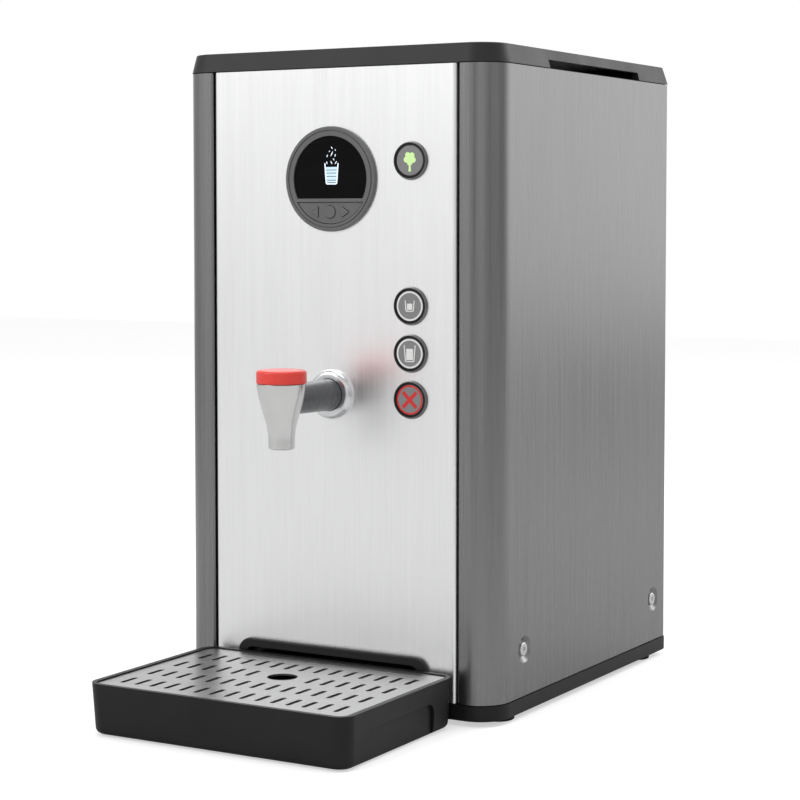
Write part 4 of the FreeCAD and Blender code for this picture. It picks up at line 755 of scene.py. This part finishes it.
    @staticmethod
    def edges_at(bm: BMesh, x: float, y: float) -> list[BMEdge]:
        """Give the upright edges at a place in plan."""
        spot = Vector((x, y))
        return [edge for edge in bm.edges
                if all((vert.co.xy - spot).length < MERGE_DISTANCE for vert in edge.verts)]

    @staticmethod
    def shrink(bm: BMesh, edges: Sequence[BMEdge], centre: Point2, ratio: float) -> None:
        """Draw a ring of edges in towards a Y, Z centre."""
        verts = list({vert for edge in edges for vert in edge.verts})
        space = Matrix.Translation((0.0, -centre[0], -centre[1]))
        bmesh.ops.scale(bm, verts=verts, vec=(1.0, ratio, ratio), space=space)


def turn_to(bm: BMesh, out: Vector) -> None:
    """Flip an open sheet where its largest face points away from a direction."""
    bm.normal_update()
    bm.faces.ensure_lookup_table()
    largest = max(bm.faces, key=lambda face: face.calc_area())
    if largest.normal.dot(out) < 0.0:
        bmesh.ops.reverse_faces(bm, faces=bm.faces)


def middle(node: str) -> Vector:
    """Give the middle of a CAD node's box."""
    low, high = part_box(node)
    return (low + high) / 2.0


def half_width(node: str) -> float:
    """Give half the width of a CAD node along X, which is the radius of a round one."""
    low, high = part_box(node)
    return (high.x - low.x) / 2.0


def panel_y() -> float:
    """Give the place of the front sheet's outer face along Y."""
    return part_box("front_panel")[0].y


def cup_outline(brim: float, foot: float, top: float, bottom: float, wall: float, rounds: Point2,
                place: Matrix) -> BMesh:
    """Make the printed outline of an open cup.

    Args:
        brim: Half width at the brim.
        foot: Half width at the foot.
        top: Height of the brim.
        bottom: Height of the foot.
        wall: Thickness of the line.
        rounds: Setbacks of the foot's outer and inner corners.
        place: Matrix of the face that it is printed on.

    Returns:
        The closed mesh.
    """
    inside = bottom + wall
    points = [(-brim, top), (-foot, bottom), (foot, bottom), (brim, top), (brim - wall, top),
              (foot - wall, inside), (wall - foot, inside), (wall - brim, top)]
    outer, inner = rounds
    return cut_out(points, [0.0, outer, outer, 0.0, 0.0, inner, inner, 0.0], PRINT_RISE, place)


def printed_bar(half: float, bottom: float, top: float, setback: float, place: Matrix,
                rise: float = PRINT_RISE) -> BMesh:
    """Make a printed bar, as wide on both sides of the middle."""
    corners = [(-half, bottom), (half, bottom), (half, top), (-half, top)]
    return cut_out(corners, [setback] * 4, rise, place)


def printed_ring(outer: float, inner: float, place: Matrix) -> BMesh:
    """Make a printed ring."""
    profile = [(outer, 0.0, 0.0), (outer, PRINT_RISE, 0.0), (inner, PRINT_RISE, 0.0), (inner, 0.0, 0.0)]
    return turned(profile, place, closed=True)


@dataclass
class Display:
    """Round display: ring, gloss window with a lit cup, and a key pad with three keys."""

    bench: Bench
    mark_shift: float = 0.0008
    cup_wall: float = 0.0008
    brim: float = 0.0053
    foot: float = 0.0042
    cup_top: float = 0.0099
    cup_bottom: float = -0.0035
    wisp_half: float = 0.00042

    def build(self) -> None:
        """Build the display's visible pieces."""
        self.bench.refine("display_ring", "grey_plastic", 0.0003)
        self.bench.refine("display_window", "dark_window", 0.0003)
        self.bench.refine("key_pad", "grey_plastic", 0.0002)
        for key in ("menu_left_key", "menu_select_key", "menu_right_key"):
            self.bench.refine(key, "grey_plastic", 0.0003)
        self.marks()

    def on_window(self, u: float, v: float) -> Matrix:
        """Give the matrix for a mark at an offset from the display's centre."""
        centre = middle("display_ring")
        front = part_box("display_window")[0].y
        return Facing.FRONT.place(centre.x + self.mark_shift + u, front, centre.z + v)

    def marks(self) -> None:
        """Build the lit cup, its water and its steam."""
        place = self.on_window(0.0, 0.0)
        outline = cup_outline(self.brim, self.foot, self.cup_top, self.cup_bottom, self.cup_wall,
                              (0.0012, 0.0006), place)
        steam = [((-0.0004, 0.0204), (0.0009, 0.0188)), ((-0.0011, 0.0179), (-0.0019, 0.0169)),
                 ((0.0025, 0.0188), (0.0031, 0.0175)), ((0.0012, 0.0175), (-0.0007, 0.014)),
                 ((-0.0026, 0.0155), (-0.0036, 0.0136)), ((0.003, 0.0159), (0.0025, 0.0137)),
                 ((0.0011, 0.0131), (0.0021, 0.0115)), ((-0.0036, 0.0113), (-0.0032, 0.0092)),
                 ((-0.0007, 0.0115), (0.0006, 0.0091)), ((0.0042, 0.0114), (0.0024, 0.0091))]
        dashes = [self.dash(start, end) for start, end in steam]
        self.bench.settle(joined([outline, *dashes]), "display_cup_mark", "lit_mark", "casing", "dark_window")
        levels = [(0.0075, 0.0058), (0.0054, 0.0039), (0.0035, 0.0018), (0.0014, -0.0006), (-0.001, -0.0022)]
        bars = []
        for top, bottom in levels:
            half = 0.0037 + 0.0008 * (top / self.cup_top)
            bars.append(printed_bar(half, bottom, top, 0.0, place))
        self.bench.settle(joined(bars), "display_water_mark", "water_mark", "casing", "dark_window")

    def dash(self, start: Point2, end: Point2) -> BMesh:
        """Build one wisp of steam as a leaf between two points."""
        a = Vector(start)
        b = Vector(end)
        side = (b - a).orthogonal().normalized() * self.wisp_half
        centre = (a + b) / 2.0
        points = [tuple(a), tuple(centre + side), tuple(b), tuple(centre - side)]
        return cut_out(points, [0.0002, 0.0005, 0.0002, 0.0005], PRINT_RISE, self.on_window(0.0, 0.0), 3)


@dataclass
class Buttons:
    """Four push buttons with a metal rim, a black gap, a grey cap and a printed sign."""

    NAMES = ("eco", "small_cup", "large_cup", "stop")
    bench: Bench
    rim_chamfer: float = 0.0007
    rim_lip: float = 0.0004
    land: float = 0.001
    barrel_radius: float = 0.0108
    barrel_length: float = 0.012
    cap_depth: float = 0.0047
    stem_radius: float = 0.004
    stem_length: float = 0.014
    ring_out: float = 0.0092
    ring_in: float = 0.0081
    cup_wall: float = 0.00065
    cross_arm: float = 0.0048
    cross_half: float = 0.00115
    travel: float = 0.0015
    edge: float = 0.00015
    cap_gap: float = 0.0002
    seat_gap: float = 0.00003

    def build(self) -> None:
        """Build the four buttons."""
        signs: dict[str, Callable[[str], None]] = {
            "eco": self.tree_sign, "small_cup": self.small_cup_sign, "large_cup": self.large_cup_sign,
            "stop": self.stop_sign}
        for name in self.NAMES:
            self.rim(name)
            self.cap(name)
            self.coil(name)
            signs[name](name)

    def coil(self, name: str) -> None:
        """Build a button's return spring."""
        node = name + "_button_spring"
        slot = frame["nodes"][node].material_slots[0].material.name.split(".")[0]
        coil = self.bench.settle(copy_of(node), node + "_coil", slot, "casing", slot, [node])
        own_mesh(coil)

    def rim(self, name: str) -> None:
        """Build a button's rim with its barrel, and the black seat inside it."""
        node = name + "_button_bezel"
        centre = middle(node)
        radius = half_width(node)
        proud = panel_y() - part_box(node)[0].y
        tip = radius - self.rim_chamfer
        inner = tip - self.rim_lip
        place = Facing.FRONT.place(centre.x, panel_y(), centre.z)
        gap = half_width(name + "_button_cap") + self.cap_gap
        floor = proud - self.land
        end = -self.barrel_length
        profile = [(radius, 0.0, 0.0), (tip, proud, self.edge), (inner, proud, 0.0001), (inner, floor, 0.0),
                   (gap, floor, 0.0), (gap, end, 0.0), (self.barrel_radius, end, 0.0),
                   (self.barrel_radius, 0.0, 0.0)]
        self.bench.settle(turned(profile, place, closed=True, steps=3), name + "_button_rim", "bezel_metal",
                          "casing", "bezel_metal", [node], hard=LATHE_EDGE)
        wide = inner - self.seat_gap
        seat = [(wide, floor, 0.0), (wide, proud - self.land * 0.6, self.edge),
                (gap, proud - self.land * 0.45, self.edge), (gap, floor, 0.0)]
        self.bench.settle(turned(seat, place, closed=True, steps=3), name + "_button_seat", "black_plastic",
                          "casing", "black_plastic")

    def cap(self, name: str) -> None:
        """Build a cap with its stem, and the ring printed round its face."""
        body = name + "_button_cap"
        radius = half_width(body)
        place = self.face(name)
        back = -self.cap_depth
        end = back - self.stem_length
        profile = [(0.0, 0.0, 0.0), (radius, 0.0, 0.0005), (radius, back, 0.0),
                   (self.stem_radius, back, 0.0), (self.stem_radius, end, 0.0), (0.0, end, 0.0)]
        self.bench.settle(turned(profile, place, steps=4), name + "_button_face", "cap_plastic", body,
                          "cap_plastic", [body], hard=LATHE_EDGE)
        if name == "eco":
            return
        ink = "red_ink" if name == "stop" else "white_ink"
        ring = printed_ring(self.ring_out, self.ring_in, place)
        self.bench.settle(ring, name + "_button_ring", ink, body, "cap_plastic")

    @staticmethod
    def face(name: str) -> Matrix:
        """Give the matrix of a button's face."""
        node = name + "_button_cap"
        centre = middle(node)
        return Facing.FRONT.place(centre.x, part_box(node)[0].y, centre.z)

    def sign(self, name: str, shapes: Sequence[BMesh], ink: str) -> None:
        """Print a sign on a button's face."""
        self.bench.settle(joined(shapes), name + "_button_sign", ink, name + "_button_cap", "cap_plastic")

    def cup_sign(self, name: str, top_half: float, foot_half: float, height: float, fill: Triple) -> None:
        """Build a cup outline with water in it.

        Args:
            name: The button.
            top_half: Half width at the brim.
            foot_half: Half width at the foot.
            height: Height of the cup.
            fill: Half width, lower and upper edge of the water.
        """
        up = height / 2.0
        place = self.face(name)
        cup = cup_outline(top_half, foot_half, up, -up, self.cup_wall, (0.0009, 0.0004), place)
        half, bottom, top = fill
        self.sign(name, [cup, printed_bar(half, bottom, top, 0.0002, place)], "white_ink")

    def small_cup_sign(self, name: str) -> None:
        """Build the small cup."""
        self.cup_sign(name, 0.00355, 0.0029, 0.007, (0.00185, -0.0023, 0.0015))

    def large_cup_sign(self, name: str) -> None:
        """Build the large cup."""
        self.cup_sign(name, 0.00425, 0.0033, 0.0105, (0.0024, -0.004, 0.003))

    def stop_sign(self, name: str) -> None:
        """Build the red cross."""
        reach = self.cross_arm * math.sqrt(2.0)
        half = self.cross_half
        bars = []
        for turn in (0.25, -0.25):
            place = self.face(name) @ Matrix.Rotation(turn * math.pi, 4, "Z")
            bars.append(printed_bar(reach, -half, half, 0.0003, place, PRINT_RISE * (1.0 + turn)))
        self.sign(name, bars, "red_ink")

    def tree_sign(self, name: str) -> None:
        """Build the tree: a lobed crown on a short trunk."""
        place = self.face(name)
        lobes = [(0.0, 0.0012, 0.0031), (-0.0024, 0.0006, 0.0019), (0.0024, 0.0004, 0.0019),
                 (-0.0014, 0.0034, 0.0018), (0.0016, 0.0032, 0.0018), (0.0, -0.0012, 0.002)]
        shapes = []
        for index, (u, v, radius) in enumerate(lobes):
            spot = place @ Matrix.Translation((u, v, 0.0))
            rise = PRINT_RISE * (1.0 + 0.1 * index)
            profile = [(0.0, 0.0, 0.0), (radius, 0.0, 0.0), (radius, rise, 0.0), (0.0, rise, 0.0)]
            shapes.append(turned(profile, spot))
        trunk = [(-0.0006, -0.0028), (-0.0009, -0.0068), (0.0009, -0.0068), (0.0006, -0.0028)]
        shapes.append(cut_out(trunk, [0.0] * 4, PRINT_RISE, place))
        # The tree's green print glows a little: painted light.
        self.sign(name, shapes, "green_ink_painted_glow")


@dataclass
class Tap:
    """Tap: rosette, arm, waisted spout and red cap."""

    bench: Bench
    dome: float = 0.0036
    arm_thin: float = 0.0092
    arm_gap: float = 0.00005
    arm_short: float = 0.004
    shank_radius: float = 0.007
    shank_length: float = 0.016
    tail_radius: float = 0.005
    tail_length: float = 0.015
    nozzle: float = 0.00805
    neck: float = 0.0082
    neck_up: float = 0.012
    shoulder: float = 0.0145
    shoulder_up: float = 0.033
    way: float = 0.0052
    chamber: float = 0.0112
    chamber_up: float = 0.0315
    plug_wall: float = 0.0016
    plug_gap: float = 0.0004
    cap_gap: float = 0.0003
    crown: float = 0.0035
    crown_drop: float = 0.0006

    def build(self) -> None:
        """Build the tap's four pieces."""
        self.rosette()
        self.arm()
        self.spout()
        self.cap()

    def rosette(self) -> None:
        """Build the domed rosette."""
        low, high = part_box("tap_flange")
        centre = middle("tap_flange")
        radius = half_width("tap_flange")
        proud = high.y - low.y
        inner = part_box("tap_arm")[1].x + self.arm_gap
        place = Facing.FRONT.place(centre.x, high.y, centre.z)
        profile = [(radius, 0.0, 0.0), (radius, proud, self.dome), (inner, proud, 0.0003), (inner, 0.0, 0.0)]
        self.bench.settle(turned(profile, place, closed=True, steps=10), "tap_rosette", "chrome", "casing",
                          "chrome", ["tap_flange"], hard=LATHE_EDGE)

    def arm(self) -> None:
        """Build the arm with its shank and hose tail behind the panel."""
        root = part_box("tap_arm")[1].x
        centre = middle("tap_arm")
        reach = panel_y() - middle("spout_body").y - self.arm_short
        place = Facing.FRONT.place(centre.x, panel_y(), centre.z)
        end = -self.shank_length
        tail = end - self.tail_length
        profile = [(0.0, reach, 0.0), (self.arm_thin, reach, 0.0), (root, 0.0, 0.0),
                   (self.shank_radius, 0.0, 0.0), (self.shank_radius, end, 0.0005),
                   (self.tail_radius, end, 0.0), (self.tail_radius, tail, 0.0005), (0.0, tail, 0.0)]
        self.bench.settle(turned(profile, place), "tap_arm_tube", "arm_metal", "casing", "arm_metal",
                          ["tap_arm"])

    def spout(self) -> None:
        """Build the spout body with its chamber and outlet."""
        low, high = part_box("spout_body")
        centre = middle("spout_body")
        top = high.z - low.z
        radius = half_width("spout_body")
        place = Facing.UP.place(centre.x, centre.y, low.z)
        profile = [(self.way, 0.0, 0.0004), (self.nozzle, 0.0, 0.0013), (self.neck, self.neck_up, 0.006),
                   (self.shoulder, self.shoulder_up, 0.0065), (radius, top, 0.0003),
                   (self.chamber, top, 0.0002), (self.chamber, self.chamber_up, 0.0),
                   (self.way, self.chamber_up, 0.0)]
        self.bench.settle(turned(profile, place, closed=True, steps=10), "spout_shell", "spout_metal",
                          "casing", "chrome", ["spout_body"], hard=LATHE_EDGE)

    def cap(self) -> None:
        """Build the red cap with its plug."""
        low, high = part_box("spout_cap")
        centre = middle("spout_cap")
        radius = half_width("spout_cap")
        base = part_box("spout_body")[1].z + self.cap_gap - low.z
        top = high.z - low.z
        plug = self.chamber - self.plug_gap
        hollow = plug - self.plug_wall
        place = Facing.UP.place(centre.x, centre.y, low.z)
        profile = [(0.0, top, 0.0), (radius - self.crown, top, 0.002),
                   (radius, top - self.crown_drop, 0.0015), (radius, base, 0.0004), (plug, base, 0.0),
                   (plug, 0.0, 0.0003), (hollow, 0.0, 0.0003), (hollow, base, 0.0), (0.0, base, 0.0)]
        self.bench.settle(turned(profile, place, steps=6), "spout_red_cap", "red_plastic", "spout_cap",
                          "red_plastic", ["spout_cap"], hard=LATHE_EDGE)


@dataclass
class Tray:
    """Drip tray with its slotted grid, and the arch that it slides through."""

    bench: Bench

    def build(self) -> None:
        """Build the tray's pieces."""
        self.bench.refine("drip_tray", "black_plastic", 0.0008)
        self.bench.refine("drip_grid", "grid_steel", 0.0002)
        self.bench.refine("tray_collar", "black_plastic", 0.0004)


@dataclass
class Rear:
    """Rear sheet with its screws, mains switch, cable gland and water inlet."""

    bench: Bench
    block_trim: float = 0.001
    thread_root: float = 0.0131
    thread_crest: float = 0.0136
    thread_start: float = 0.0015
    thread_pitch: float = 0.0018
    thread_turns: int = 6
    stroke_half: float = 0.0003
    mark_reach: float = 0.0018
    mark_hollow: float = 0.0013

    def build(self) -> None:
        """Build the rear pieces."""
        self.bench.refine("rear_panel", "side_steel", 0.0002, "dark_steel")
        self.bench.refine("rear_screws", "screw_steel", 0.0002)
        self.bench.refine("mains_switch_body", "rocker_plastic", 0.0004, "black_plastic")
        self.bench.refine("mains_rocker", "rocker_plastic", 0.0005)
        self.bench.refine("cable_gland", "black_plastic", 0.0004)
        self.bench.refine("inlet_valve", "valve_plastic", 0.0003)
        self.thread()
        self.rocker_marks()

    def thread(self) -> None:
        """Build the ridges of the inlet's screw thread."""
        low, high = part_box("inlet_valve")
        centre_z = low.z + half_width("inlet_valve") - self.block_trim
        place = Facing.REAR.place((low.x + high.x) / 2.0, high.y, centre_z)
        rings = []
        for turn in range(self.thread_turns):
            start = -self.thread_start - turn * self.thread_pitch
            profile = [(self.thread_root, start, 0.0), (self.thread_crest, start - 0.0006, 0.00015),
                       (self.thread_crest, start - 0.0009, 0.00015), (self.thread_root, start - 0.0015, 0.0)]
            rings.append(turned(profile, place, closed=True, steps=2))
        self.bench.settle(joined(rings), "inlet_thread", "valve_plastic", "casing", "valve_plastic")

    def rocker_marks(self) -> None:
        """Build the on and off marks printed on the rocker."""
        low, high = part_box("mains_rocker")
        centre = middle("mains_rocker")
        reach = (high.z - low.z) / 4.0
        surface = copy_of("mains_rocker")
        tree = BVHTree.FromBMesh(surface)
        surface.free()
        marks = []
        for side in (-1.0, 1.0):
            start = Vector((centre.x, high.y + 0.01, centre.z + side * reach))
            spot, normal, _, _ = tree.ray_cast(start, Vector((0.0, -1.0, 0.0)))
            place = Matrix.Translation(spot) @ normal.to_track_quat("Z", "Y").to_matrix().to_4x4()
            if side > 0.0:
                marks.append(printed_bar(self.stroke_half, -self.mark_reach, self.mark_reach, 0.0001, place))
            else:
                marks.append(printed_ring(self.mark_reach, self.mark_hollow, place))
        self.bench.settle(joined(marks), "mains_rocker_marks", "white_ink", "mains_rocker", "rocker_plastic")


@dataclass
class Interior:
    """The parts inside the casing, which keep their CAD shapes."""

    bench: Bench

    def dress(self) -> None:
        """Give every CAD node the finish of its record slot."""
        for name, node in frame["nodes"].items():
            for place in node.material_slots:
                label = place.material.name.split(".")[0] if place.material else ""
                if label in Palette.FINISHES:
                    place.material = self.bench.palette.get(label)
                else:
                    LOG.info("node %s has slot %s", name, label)


# ---- studio ----


@dataclass
class Studio:
    """Pale floor, soft lights and the camera."""

    eye: Triple = (0.70354, -1.20529, 0.31283)
    yaw: float = 29.998
    pitch: float = 3.173
    lens: float = 94.678
    shift: float = -0.08
    floor_half: float = 4.0
    surround: float = 1.02
    lobes: tuple[tuple[Triple, float, float, float], ...] = (
        ((0.05, -1.0, 0.0), 0.972, 0.998, -0.6),
        ((0.83, -0.47, 0.0), 0.9, 0.99, -0.45),
        ((0.94, 0.3, 0.0), 0.86, 0.97, -0.5),
        ((0.5, 0.86, 0.1), 0.8, 1.0, 0.75),
        ((-0.5, -0.86, 0.15), 0.8, 1.0, 0.1),
        ((-0.95, 0.1, 0.0), 0.8, 1.0, -0.3),
        ((-0.5, 0.87, 0.0), 0.8, 1.0, 0.4),
        ((0.0, 0.0, 1.0), 0.5, 0.95, -0.45))
    floor_glow: float = 0.53
    lamps: tuple[tuple[str, Triple, float, float], ...] = (
        ("key_lamp", (-1.0, -1.5, 1.5), 1.3, 12.0),
        ("top_lamp", (0.1, 0.1, 2.2), 1.8, 24.0),
        ("rear_lamp", (0.95, 1.25, 1.3), 1.2, 9.0))

    def build(self) -> None:
        """Set the floor, the world, the lamps and the camera."""
        self.floor()
        self.world()
        for name, spot, size, power in self.lamps:
            self.lamp(name, Vector(spot), size, power)
        self.camera()
        bpy.context.scene.view_settings.view_transform = "Standard"

    def floor(self) -> None:
        """Lay the floor."""
        bm = bmesh.new()
        bmesh.ops.create_grid(bm, x_segments=2, y_segments=2, size=self.floor_half)
        mesh = bpy.data.meshes.new("studio_floor")
        bm.to_mesh(mesh)
        bm.free()
        recipe = Recipe("studio_floor")
        cloud = recipe.noise((1.5, 1.5, 1.5), detail=2.0)
        colour = recipe.blend(recipe.spread(cloud, 0.0, 1.0), (0.6, 0.6, 0.6), (0.62, 0.62, 0.62))
        seen = recipe.node("LightPath").outputs["Is Camera Ray"]
        glow = recipe.spread(seen, 0.0, self.floor_glow, 0.0, 1.0)
        recipe.set(Base_Color=colour, Roughness=0.8, Specular_IOR_Level=0.1, Emission_Color=(1.0, 1.0, 1.0),
                   Emission_Strength=glow)
        mesh.materials.append(recipe.material)
        piece = bpy.data.objects.new("studio_floor", mesh)
        bpy.context.scene.collection.objects.link(piece)

    def world(self) -> None:
        """Make a soft surround, brighter or dimmer round each lobe, and a white backdrop."""
        world = bpy.data.worlds.new("studio")
        bpy.context.scene.world = world
        world.use_nodes = True
        tree = world.node_tree
        tree.nodes.clear()
        coords = tree.nodes.new("ShaderNodeTexCoord")
        level = tree.nodes.new("ShaderNodeValue").outputs[0]
        level.default_value = self.surround
        for toward, start, end, change in self.lobes:
            level = self.lobe(tree, coords.outputs["Generated"], level, toward, start, end, change)
        soft = tree.nodes.new("ShaderNodeBackground")
        white = tree.nodes.new("ShaderNodeBackground")
        white.inputs["Strength"].default_value = 1.0
        white.inputs["Color"].default_value = (1.0, 1.0, 1.0, 1.0)
        path = tree.nodes.new("ShaderNodeLightPath")
        mix = tree.nodes.new("ShaderNodeMixShader")
        output = tree.nodes.new("ShaderNodeOutputWorld")
        links = tree.links
        links.new(level, soft.inputs["Strength"])
        links.new(path.outputs["Is Camera Ray"], mix.inputs["Fac"])
        links.new(soft.outputs["Background"], mix.inputs[1])
        links.new(white.outputs["Background"], mix.inputs[2])
        links.new(mix.outputs["Shader"], output.inputs["Surface"])

    @staticmethod
    def lobe(tree: bpy.types.NodeTree, direction: NodeSocket, level: NodeSocket, toward: Triple, start: float,
             end: float, change: float) -> NodeSocket:
        """Brighten or dim the surround round one direction.

        Args:
            tree: The world's node tree.
            direction: Socket of the direction looked in.
            level: Brightness so far.
            toward: Middle of the lobe.
            start: Cosine at which the lobe starts.
            end: Cosine at which it is full.
            change: Brightness that it adds at its middle.

        Returns:
            The new brightness.
        """
        dot = tree.nodes.new("ShaderNodeVectorMath")
        dot.operation = "DOT_PRODUCT"
        dot.inputs[1].default_value = Vector(toward).normalized()
        spread = tree.nodes.new("ShaderNodeMapRange")
        spread.interpolation_type = "SMOOTHSTEP"
        for name, value in (("From Min", start), ("From Max", end), ("To Min", 0.0), ("To Max", change)):
            spread.inputs[name].default_value = value
        added = tree.nodes.new("ShaderNodeMath")
        added.operation = "ADD"
        tree.links.new(direction, dot.inputs[0])
        tree.links.new(dot.outputs["Value"], spread.inputs["Value"])
        tree.links.new(level, added.inputs[0])
        tree.links.new(spread.outputs["Result"], added.inputs[1])
        return added.outputs[0]

    def lamp(self, name: str, spot: Vector, size: float, power: float) -> None:
        """Hang a square soft lamp that points at the machine.

        Args:
            name: Name of the lamp.
            spot: Its place.
            size: Length of its sides.
            power: Its power in watts.
        """
        light: Light = bpy.data.lights.new(name, "AREA")
        light.size = size
        light.energy = power
        lamp = bpy.data.objects.new(name, light)
        lamp.location = spot
        aim = Vector((0.0, 0.0, 0.2)) - spot
        lamp.rotation_euler = aim.to_track_quat("-Z", "Y").to_euler()
        lamp.visible_camera = False
        bpy.context.scene.collection.objects.link(lamp)

    def camera(self) -> None:
        """Set the camera."""
        data = bpy.data.cameras.new("camera")
        data.lens = self.lens
        data.shift_y = self.shift
        data.clip_end = 50.0
        camera = bpy.data.objects.new("camera", data)
        camera.location = self.eye
        camera.rotation_euler = (math.radians(90.0 - self.pitch), 0.0, math.radians(self.yaw))
        bpy.context.scene.collection.objects.link(camera)
        bpy.context.scene.camera = camera


def main() -> None:
    """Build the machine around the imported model."""
    logging.basicConfig(level=logging.INFO, format="%(name)s %(message)s")
    bench = Bench(Palette())
    Studio().build()
    Interior(bench).dress()
    for assembly in (Casing(bench), Display(bench), Buttons(bench), Tap(bench), Tray(bench), Rear(bench)):
        assembly.build()
        LOG.info("%s built", type(assembly).__name__)


if __name__ == "__main__":
    main()
